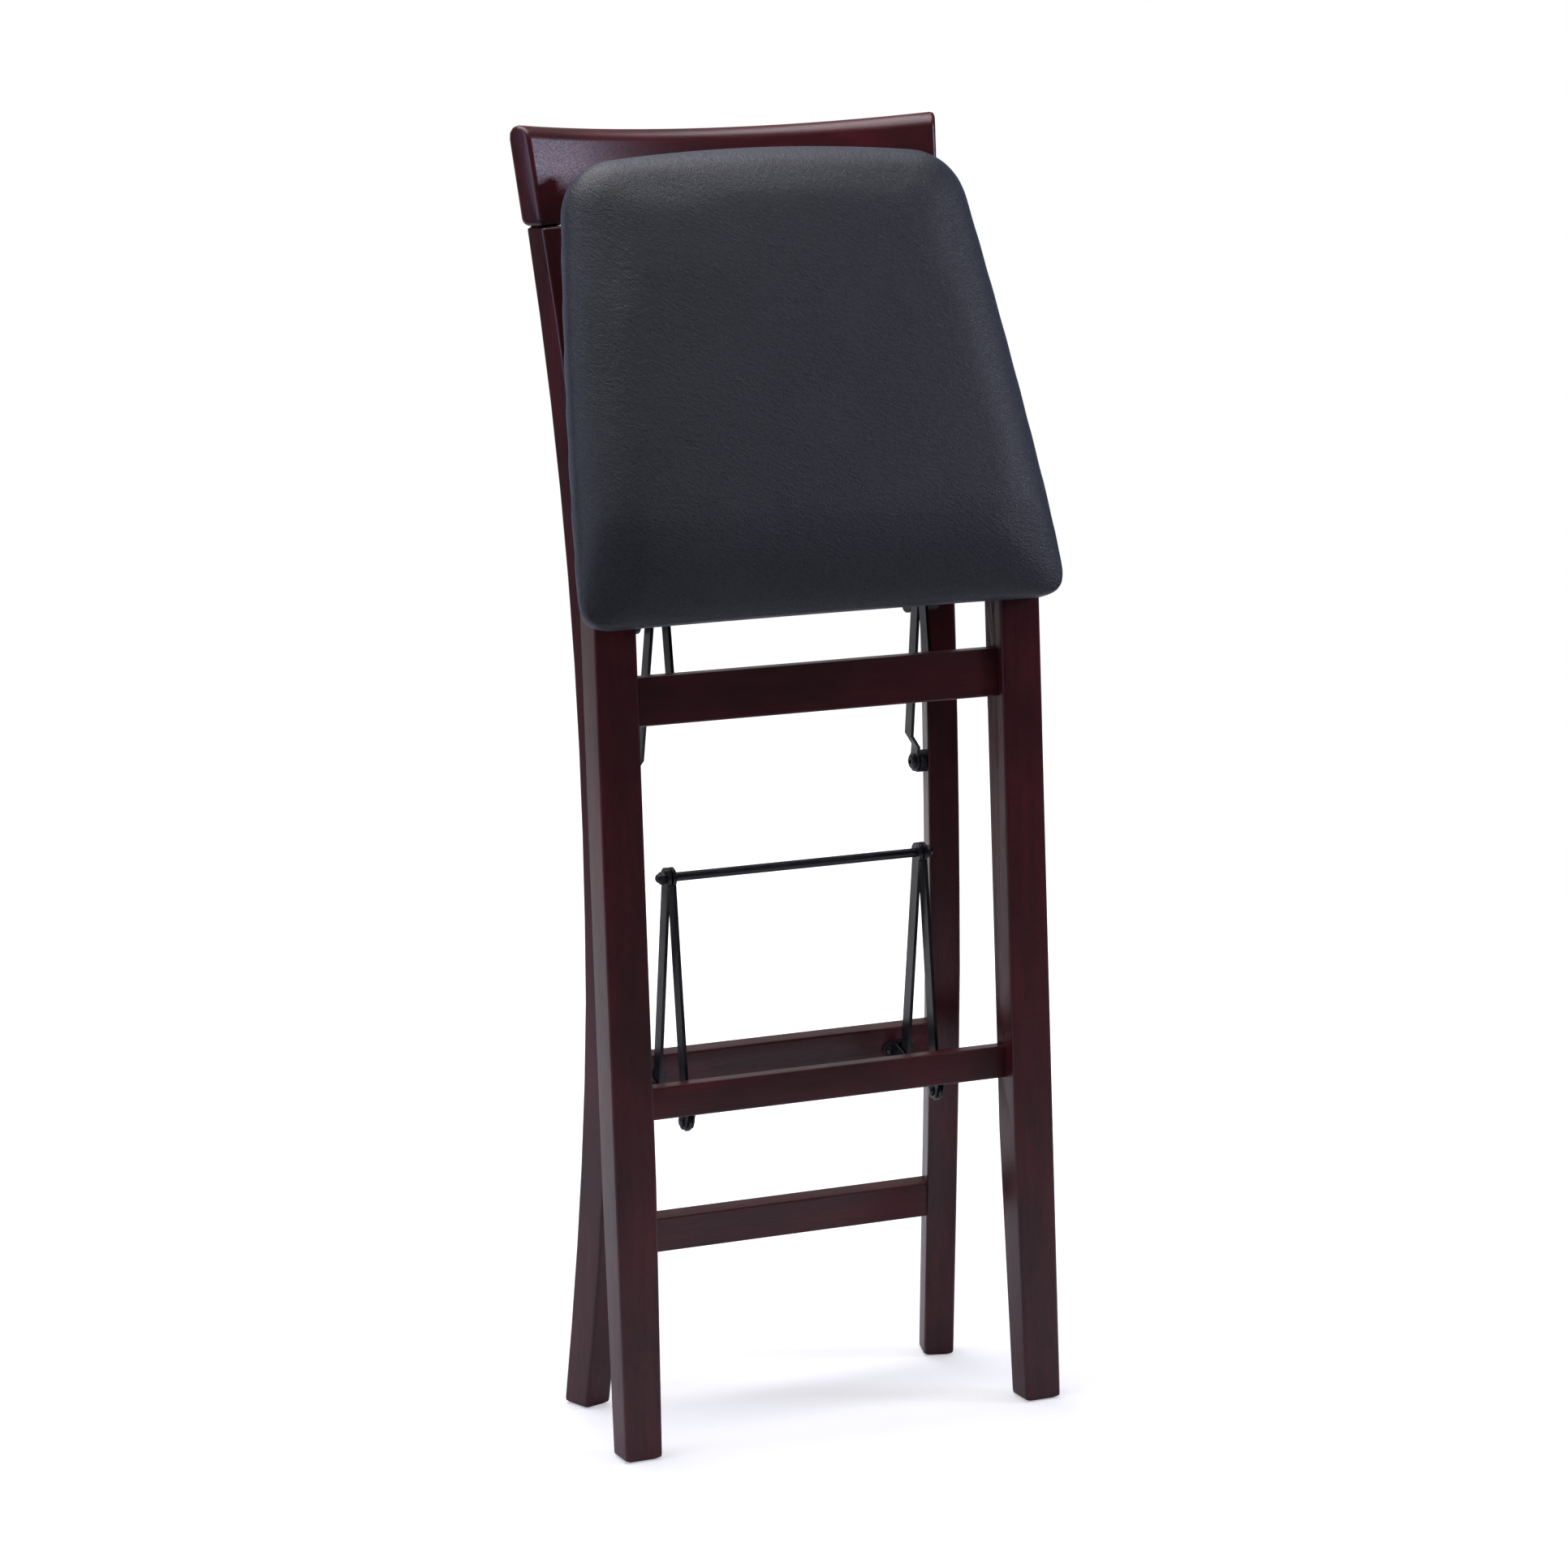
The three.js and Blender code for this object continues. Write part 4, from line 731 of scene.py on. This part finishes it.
@dataclass
class Seat(Assembly):
    """The padded seat in its own frame: X across, Y from the hinge to the rear, Z up through it."""

    body: str = "seat"
    slope_deg: float = 70.0
    front: float = -0.025
    rear: float = 0.3920
    front_half: float = 0.2325
    rear_half: float = 0.1872
    front_corner: float = 0.026
    rear_corner: float = 0.040
    side_bulge: float = 0.0045
    front_bulge: float = -0.0012
    rear_bulge: float = 0.012
    under: float = 0.0171
    edge_height: float = 0.0360
    rim_radius: float = 0.0205
    tuck_radius: float = 0.015
    crown: float = 0.006
    front_fall: float = 0.0135
    front_fall_reach: float = 0.086
    rear_fall: float = 0.0085
    rear_fall_reach: float = 0.055
    side_fall: float = 0.0085
    side_fall_reach: float = 0.050
    swell: float = 0.0025
    evening_rounds: int = 24
    board_inset: float = 0.019
    board_thickness: float = 0.012
    hem_width: float = 0.026
    hem_thickness: float = 0.0006
    foam_lift: float = 0.5 * MM
    foam_cell: float = 5 * MM
    least_corner: float = 6 * MM
    corner_steps: int = 8
    rim_steps: int = 6
    front_fall_power: float = 1.45
    crown_from: float = 0.45
    long_side: float = 0.1
    side_cuts: int = 11
    board_rounding: float = 0.6 * MM
    hem_lap: float = 1 * MM
    hem_rounding: float = 0.3 * MM
    held_height: float = 6 * MM
    cover_pressure: float = 4.0
    cover_frames: int = 20
    smoothing_rounds: int = 3

    @property
    def place(self) -> Matrix:
        """The seat's own frame in the stool's, from the hinge that it turns on."""
        hinge = next(j for j in frame["joints"] if j["name"] == "seat_hinge")
        tilt = Matrix.Rotation(math.radians(self.slope_deg), 4, "X")
        return Matrix.Translation(hinge["pos_m"]) @ tilt

    def build(self) -> None:
        """Makes the pad, its board and hem, and dresses the bearers and the hinge brackets."""
        self.pieces.append(self.make_board())
        self.pieces.append(self.make_hem())
        for side in Side:
            self.carry_over(f"seat_bearer_{side.word}", self.body, SEAT_WOOD, "frame", BEARER_EDGE)
            bracket = f"seat_hinge_bracket_{side.word}"
            self.carry_over(bracket, self.body, STEEL, "hardware", BRACKET_EDGE)
            for index in (1, 2):
                self.carry_over(f"seat_bracket_screw_{side.word}_{index}", self.body, STEEL, "hardware")
        self.pieces.append(self.make_pad())

    def half_at(self, share: float) -> float:
        """The pad's half width at a share of its length, bulge left out."""
        return self.front_half + (self.rear_half - self.front_half) * share

    def warped(self, point: Vector) -> Vector:
        """Bows a point of the straight-sided blank to the pad's curved outline.

        Args:
            point: a point in the seat's frame.

        Returns:
            Where it belongs.
        """
        share = (point.y - self.front) / (self.rear - self.front)
        across = point.x / self.half_at(share)
        bow = self.front_bulge * (1 - share) - self.rear_bulge * share
        wide = 1 + 4 * self.side_bulge * share * (1 - share) / self.half_at(share)
        return Vector((point.x * wide, point.y + bow * across * across, point.z))

    def outline(self, shape: bmesh.types.BMesh, inset: float, base: float) -> bmesh.types.BMFace:
        """Draws the tapered outline with round corners as one flat face.

        Args:
            shape: the mesh that gets it.
            inset: how far it lies inside the pad's own outline.
            base: its height.

        Returns:
            The face.
        """
        corners = [
            shape.verts.new((x * (half - inset), y, base))
            for x, half, y in (
                (-1, self.front_half, self.front + inset),
                (1, self.front_half, self.front + inset),
                (1, self.rear_half, self.rear - inset),
                (-1, self.rear_half, self.rear - inset),
            )
        ]
        shape.faces.new(corners)
        for pair, radius in ((corners[:2], self.front_corner), (corners[2:], self.rear_corner)):
            bmesh.ops.bevel(
                shape,
                geom=pair,
                offset=max(radius - inset, self.least_corner),
                offset_type="OFFSET",
                segments=self.corner_steps,
                profile=ROUND,
                affect="VERTICES",
                material=-1,
            )
        return shape.faces[:][0]

    def finely_sided(self, shape: bmesh.types.BMesh) -> None:
        """Splits an outline's straight sides so that they can follow the pad's bow."""
        long_sides = [e for e in shape.edges if e.calc_length() > self.long_side]
        bmesh.ops.subdivide_edges(shape, edges=long_sides, cuts=self.side_cuts)

    @staticmethod
    def raised(shape: bmesh.types.BMesh, faces: list[bmesh.types.BMFace], rise: float) -> None:
        """Makes a plate of flat faces.

        Args:
            shape: the mesh that they belong to.
            faces: the faces, which become its underside.
            rise: its thickness.
        """
        added = bmesh.ops.extrude_face_region(shape, geom=faces, use_keep_orig=True)
        top = [v for v in added["geom"] if isinstance(v, bmesh.types.BMVert)]
        bmesh.ops.translate(shape, verts=top, vec=(0, 0, rise))

    def fitted(self, shape: bmesh.types.BMesh, rise: float, rounding: float) -> None:
        """Raises an outline to a plate, bows it, rounds its edges and puts it in its place.

        Args:
            shape: the outline's mesh.
            rise: the plate's thickness.
            rounding: how far its edges are rounded.
        """
        self.raised(shape, shape.faces[:], rise)
        for vertex in shape.verts:
            vertex.co = self.warped(vertex.co)
        bmesh.ops.recalc_face_normals(shape, faces=shape.faces)
        softened(shape, rounding)
        bmesh.ops.transform(shape, matrix=self.place, verts=shape.verts)

    def make_board(self) -> bpy.types.Object:
        """Cuts the plywood board that the cover is drawn round.

        Returns:
            The board.
        """
        shape = bmesh.new()
        self.outline(shape, self.board_inset, self.under)
        self.finely_sided(shape)
        self.fitted(shape, self.board_thickness, self.board_rounding)
        return finished("seat_board_cut", shape, BOARD, self.body, ["seat_board"])

    def make_hem(self) -> bpy.types.Object:
        """Lays the strip of cover that is turned under the board, sunk into it by half.

        Returns:
            The hem.
        """
        shape = bmesh.new()
        inset = self.tuck_radius - self.hem_lap
        face = self.outline(shape, inset, self.under - self.hem_thickness)
        self.finely_sided(shape)
        bmesh.ops.inset_region(
            shape, faces=[face], thickness=self.hem_width, use_boundary=True, use_even_offset=True
        )
        bmesh.ops.delete(shape, geom=[face], context="FACES")
        self.fitted(shape, 2 * self.hem_thickness, self.hem_rounding)
        return finished("seat_cover_hem", shape, VINYL, self.body, ())

    def blank(self) -> bmesh.types.BMesh:
        """Shapes the foam block: a tapered outline with round corners, raised and rounded over.

        Returns:
            The block.
        """
        shape = bmesh.new()
        base = self.under + self.foam_lift
        self.raised(shape, [self.outline(shape, 0.0, base)], self.edge_height)
        level = base + self.edge_height / 2
        for radius, above in ((self.rim_radius, True), (self.tuck_radius, False)):
            rim = [
                e
                for e in shape.edges
                if all((v.co.z > level) == above for v in e.verts)
                and abs(e.verts[0].co.z - e.verts[1].co.z) < LEVEL
                and any(abs(f.normal.z) < STEEP for f in e.link_faces)
            ]
            shape.normal_update()
            bmesh.ops.bevel(
                shape,
                geom=rim,
                offset=radius,
                offset_type="OFFSET",
                segments=self.rim_steps,
                profile=ROUND,
                affect="EDGES",
                material=-1,
                clamp_overlap=True,
            )
        bmesh.ops.recalc_face_normals(shape, faces=shape.faces)
        return shape

    def fallen(self, point: Vector) -> Vector:
        """Crowns the foam's top and rolls it down towards the front and rear edges.

        Args:
            point: a point of the foam.

        Returns:
            Where it belongs.
        """
        middle = self.under + self.crown_from * self.edge_height
        if point.z < middle:
            return point
        lift = (point.z - middle) / (self.under + self.edge_height - middle)
        share = (point.y - self.front) / (self.rear - self.front)
        across = point.x / self.half_at(share)
        dome = (1 - across**4) * (1 - (2 * share - 1) ** 4)
        nearness = max(0.0, 1 - (point.y - self.front) / self.front_fall_reach)
        drop = self.front_fall * nearness**self.front_fall_power
        drop += self.rear_fall * max(0.0, 1 - (self.rear - point.y) / self.rear_fall_reach) ** 2
        inward = self.half_at(share) - abs(point.x)
        drop += self.side_fall * max(0.0, 1 - inward / self.side_fall_reach) ** 2
        return point + Vector((0, 0, min(lift, 1.0) * (self.crown * max(dome, 0.0) - drop)))

    def make_pad(self) -> bpy.types.Object:
        """Remeshes the foam, lets the cover swell over it and dresses it.

        Returns:
            The pad.
        """
        shape = self.blank()
        mesh = bpy.data.meshes.new("foam")
        shape.to_mesh(mesh)
        shape.free()
        foam = bpy.data.objects.new("foam", mesh)
        bpy.context.scene.collection.objects.link(foam)
        remesh = foam.modifiers.new("even", "REMESH")
        remesh.mode = "VOXEL"
        remesh.voxel_size = self.foam_cell
        self.apply_modifiers(foam)
        for vertex in foam.data.vertices:
            vertex.co = self.fallen(self.warped(vertex.co))
        self.swell_cover(foam)
        shape = bmesh.new()
        shape.from_mesh(foam.data)
        for _ in range(self.smoothing_rounds):
            bmesh.ops.smooth_vert(
                shape, verts=shape.verts, factor=0.5, use_axis_x=True, use_axis_y=True, use_axis_z=True
            )
        bmesh.ops.transform(shape, matrix=self.place, verts=shape.verts)
        bpy.data.objects.remove(foam)
        stands_for = ["seat_cushion"]
        pad = finished("seat_pad", shape, VINYL, self.body, stands_for, ALL_SMOOTH_DEG)
        round_off = pad.modifiers.new("finer", "SUBSURF")
        round_off.levels = round_off.render_levels = 1
        return pad

    @staticmethod
    def apply_modifiers(piece: bpy.types.Object) -> None:
        """Makes what a piece's modifiers give its own mesh.

        Args:
            piece: the piece, which keeps no modifiers.
        """
        bpy.context.view_layer.update()
        shown = piece.evaluated_get(bpy.context.evaluated_depsgraph_get())
        mesh = bpy.data.meshes.new_from_object(shown)
        piece.modifiers.clear()
        piece.data = mesh

    def swell_cover(self, foam: bpy.types.Object) -> None:
        """Blows the cover up a little, held where it wraps under the board.

        Args:
            foam: the remeshed block, changed in place.
        """
        start = [vertex.co.copy() for vertex in foam.data.vertices]
        held = foam.vertex_groups.new(name="held")
        tucked = [v.index for v in foam.data.vertices if v.co.z < self.under + self.held_height]
        held.add(tucked, 1.0, "REPLACE")
        cloth = foam.modifiers.new("cover", "CLOTH")
        cloth.settings.use_pressure = True
        cloth.settings.uniform_pressure_force = self.cover_pressure
        cloth.settings.vertex_group_mass = "held"
        cloth.settings.effector_weights.gravity = 0.0
        cloth.point_cache.frame_end = self.cover_frames
        scene = bpy.context.scene
        for step in range(1, self.cover_frames + 1):
            scene.frame_set(step)
        self.apply_modifiers(foam)
        scene.frame_set(1)
        moves = [vertex.co - first for vertex, first in zip(foam.data.vertices, start)]
        moves = self.evened(moves, foam.data)
        for vertex, first, move in zip(foam.data.vertices, start, moves):
            vertex.co = first + move * min(1.0, self.swell / max(move.length, TINY))

    def evened(self, moves: list[Vector], mesh: bpy.types.Mesh) -> list[Vector]:
        """Evens the cover's movement out, each point with the points that it is joined to.

        Args:
            moves: how far each point has moved.
            mesh: the cover, for its edges.

        Returns:
            The evened moves.
        """
        near: list[list[int]] = [[] for _ in moves]
        for edge in mesh.edges:
            one, other = edge.vertices
            near[one].append(other)
            near[other].append(one)
        for _ in range(self.evening_rounds):
            moves = [
                0.5 * move + sum((moves[i] for i in around), Vector()) * (0.5 / len(around))
                for move, around in zip(moves, near)
            ]
        return moves


@dataclass(frozen=True)
class Lamp:
    """A square soft lamp that points at the stool."""

    name: str
    place: tuple[float, float, float]
    size: float
    watts: float
    tint: str = "#ffffff"
    aim: tuple[float, float, float] = (0.0, 0.0, 0.7)

    def hang(self) -> None:
        """Adds the lamp to the scene."""
        light = bpy.data.lights.new(self.name, "AREA")
        light.shape = "SQUARE"
        light.size = self.size
        light.energy = self.watts
        light.color = linear(self.tint)[:3]
        lamp = bpy.data.objects.new(self.name, light)
        lamp.location = self.place
        towards = Vector(self.aim) - Vector(self.place)
        lamp.rotation_euler = towards.to_track_quat("-Z", "Y").to_euler()
        bpy.context.scene.collection.objects.link(lamp)


@dataclass
class Studio:
    """A white floor, soft lamps and a camera that stands where the photograph was taken."""

    camera_place: tuple[float, float, float] = (-1.8121, -3.9185, 1.3775)
    yaw_deg: float = 24.906
    pitch_deg: float = 10.787
    roll_deg: float = -0.42
    lens_mm: float = 114.30
    floor_half: float = 3.0
    floor_front: float = -1.5
    paper_half: float = 1.8
    paint: str = "#e6e6e6"
    glow_span: Span = (0.4, 1.8)
    glow: Span = (0.45, 1.0)
    mirror_span: Span = (0.2, 1.8)
    mirror: Span = (0.0, 0.45)
    room_span: Span = (0.55, 1.0)
    room_light: Span = (0.03, 0.6)
    sensor_mm: float = 36.0
    lamps: tuple[Lamp, ...] = (
        Lamp("overhead", place=(-0.2, 0.25, 3.0), size=2.4, watts=88.0, tint="#faf8ff"),
        Lamp("left_window", place=(-3.0, -0.45, 1.5), size=1.8, watts=32.0, tint="#cbd8ff"),
        Lamp("right_window", place=(2.45, -1.25, 1.65), size=0.62, watts=26.0, tint="#dfe0ff"),
    )

    def build(self) -> None:
        """Sets up the whole studio."""
        self.lay_floor()
        self.light_world()
        for lamp in self.lamps:
            lamp.hang()
        self.set_camera()
        bpy.context.scene.view_settings.view_transform = "Standard"

    def set_camera(self) -> None:
        """Places the camera from its fitted yaw, pitch and roll."""
        yaw, pitch, roll = (math.radians(a) for a in (self.yaw_deg, self.pitch_deg, self.roll_deg))
        ahead = Vector(
            (math.sin(yaw) * math.cos(pitch), math.cos(yaw) * math.cos(pitch), -math.sin(pitch))
        )
        right = Vector((math.cos(yaw), -math.sin(yaw), 0.0))
        up = right.cross(ahead)
        rolled_right = math.cos(roll) * right + math.sin(roll) * up
        rolled_up = math.cos(roll) * up - math.sin(roll) * right
        data = bpy.data.cameras.new("photo_camera")
        data.sensor_width = self.sensor_mm
        data.lens = self.lens_mm
        camera = bpy.data.objects.new("photo_camera", data)
        turn = Matrix((rolled_right, rolled_up, -ahead)).transposed().to_4x4()
        camera.matrix_world = Matrix.Translation(self.camera_place) @ turn
        bpy.context.scene.collection.objects.link(camera)
        bpy.context.scene.camera = camera

    def lay_floor(self) -> None:
        """Lays the floor, which shows white to the camera and still takes a shadow."""
        shape = bmesh.new()
        bmesh.ops.create_grid(shape, x_segments=1, y_segments=1, size=self.floor_half)
        narrowed = (self.paper_half / self.floor_half, 1.0, 1.0)
        bmesh.ops.scale(shape, verts=shape.verts, vec=narrowed)
        back = (0.0, self.floor_front + self.floor_half, 0.0)
        bmesh.ops.translate(shape, verts=shape.verts, vec=back)
        mesh = bpy.data.meshes.new("floor")
        shape.to_mesh(mesh)
        shape.free()
        floor = bpy.data.objects.new("floor", mesh)
        bpy.context.scene.collection.objects.link(floor)
        mesh.materials.append(self.floor_material())

    def floor_material(self) -> bpy.types.Material:
        """Makes a pale paint that glows to the camera further out, and in gloss behind the stool.

        Returns:
            The material.
        """
        material = bpy.data.materials.new("white_floor")
        material.use_nodes = True
        tree = material.node_tree
        tree.nodes.clear()
        paint = add_node(tree, "ShaderNodeBsdfDiffuse", {"Color": linear(self.paint)})
        path = add_node(tree, "ShaderNodeLightPath")
        place = add_node(tree, "ShaderNodeTexCoord").outputs["Object"]
        away = add_node(tree, "ShaderNodeVectorMath", {0: place}, operation="LENGTH")
        fading = ranged(tree, away.outputs["Value"], self.glow_span, self.glow)
        back = add_node(tree, "ShaderNodeSeparateXYZ", {0: place}).outputs["Y"]
        behind = ranged(tree, back, self.mirror_span, self.mirror)
        gloss = {0: path.outputs["Is Glossy Ray"], 1: behind}
        mirrored = add_node(tree, "ShaderNodeMath", gloss, operation="MULTIPLY")
        seen = {0: path.outputs["Is Camera Ray"], 1: fading, 2: mirrored.outputs[0]}
        lift = add_node(tree, "ShaderNodeMath", seen, operation="MULTIPLY_ADD")
        glow = add_node(tree, "ShaderNodeEmission", {"Strength": lift.outputs[0]})
        both = add_node(tree, "ShaderNodeAddShader", {0: paint.outputs[0], 1: glow.outputs[0]})
        add_node(tree, "ShaderNodeOutputMaterial", {"Surface": both.outputs[0]})
        return material

    def light_world(self) -> None:
        """Gives a room that is white behind the stool and dim in front of it."""
        world = bpy.data.worlds.new("room")
        bpy.context.scene.world = world
        world.use_nodes = True
        tree = world.node_tree
        tree.nodes.clear()
        place = add_node(tree, "ShaderNodeTexCoord").outputs["Generated"]
        ahead = add_node(tree, "ShaderNodeSeparateXYZ", {0: place}).outputs["Y"]
        room = ranged(tree, ahead, self.room_span, self.room_light)
        room.node.interpolation_type = "SMOOTHSTEP"
        path = add_node(tree, "ShaderNodeLightPath")
        dim = add_node(tree, "ShaderNodeBackground", {"Strength": room})
        white = add_node(tree, "ShaderNodeBackground", {"Color": linear("#ffffff"), "Strength": 1.0})
        either = {0: path.outputs["Is Camera Ray"], 1: dim.outputs[0], 2: white.outputs[0]}
        shown = add_node(tree, "ShaderNodeMixShader", either)
        add_node(tree, "ShaderNodeOutputWorld", {"Surface": shown.outputs[0]})


def main() -> None:
    """Builds the studio and the stool."""
    logging.basicConfig(level=logging.INFO, format="%(message)s")
    Studio().build()
    for assembly in (BackFrame(), FrontFrame(), Stays(), Seat()):
        assembly.build()
        LOG.info("%s has %d pieces", type(assembly).__name__, len(assembly.pieces))
    bpy.context.view_layer.update()


if __name__ == "__main__":
    main()
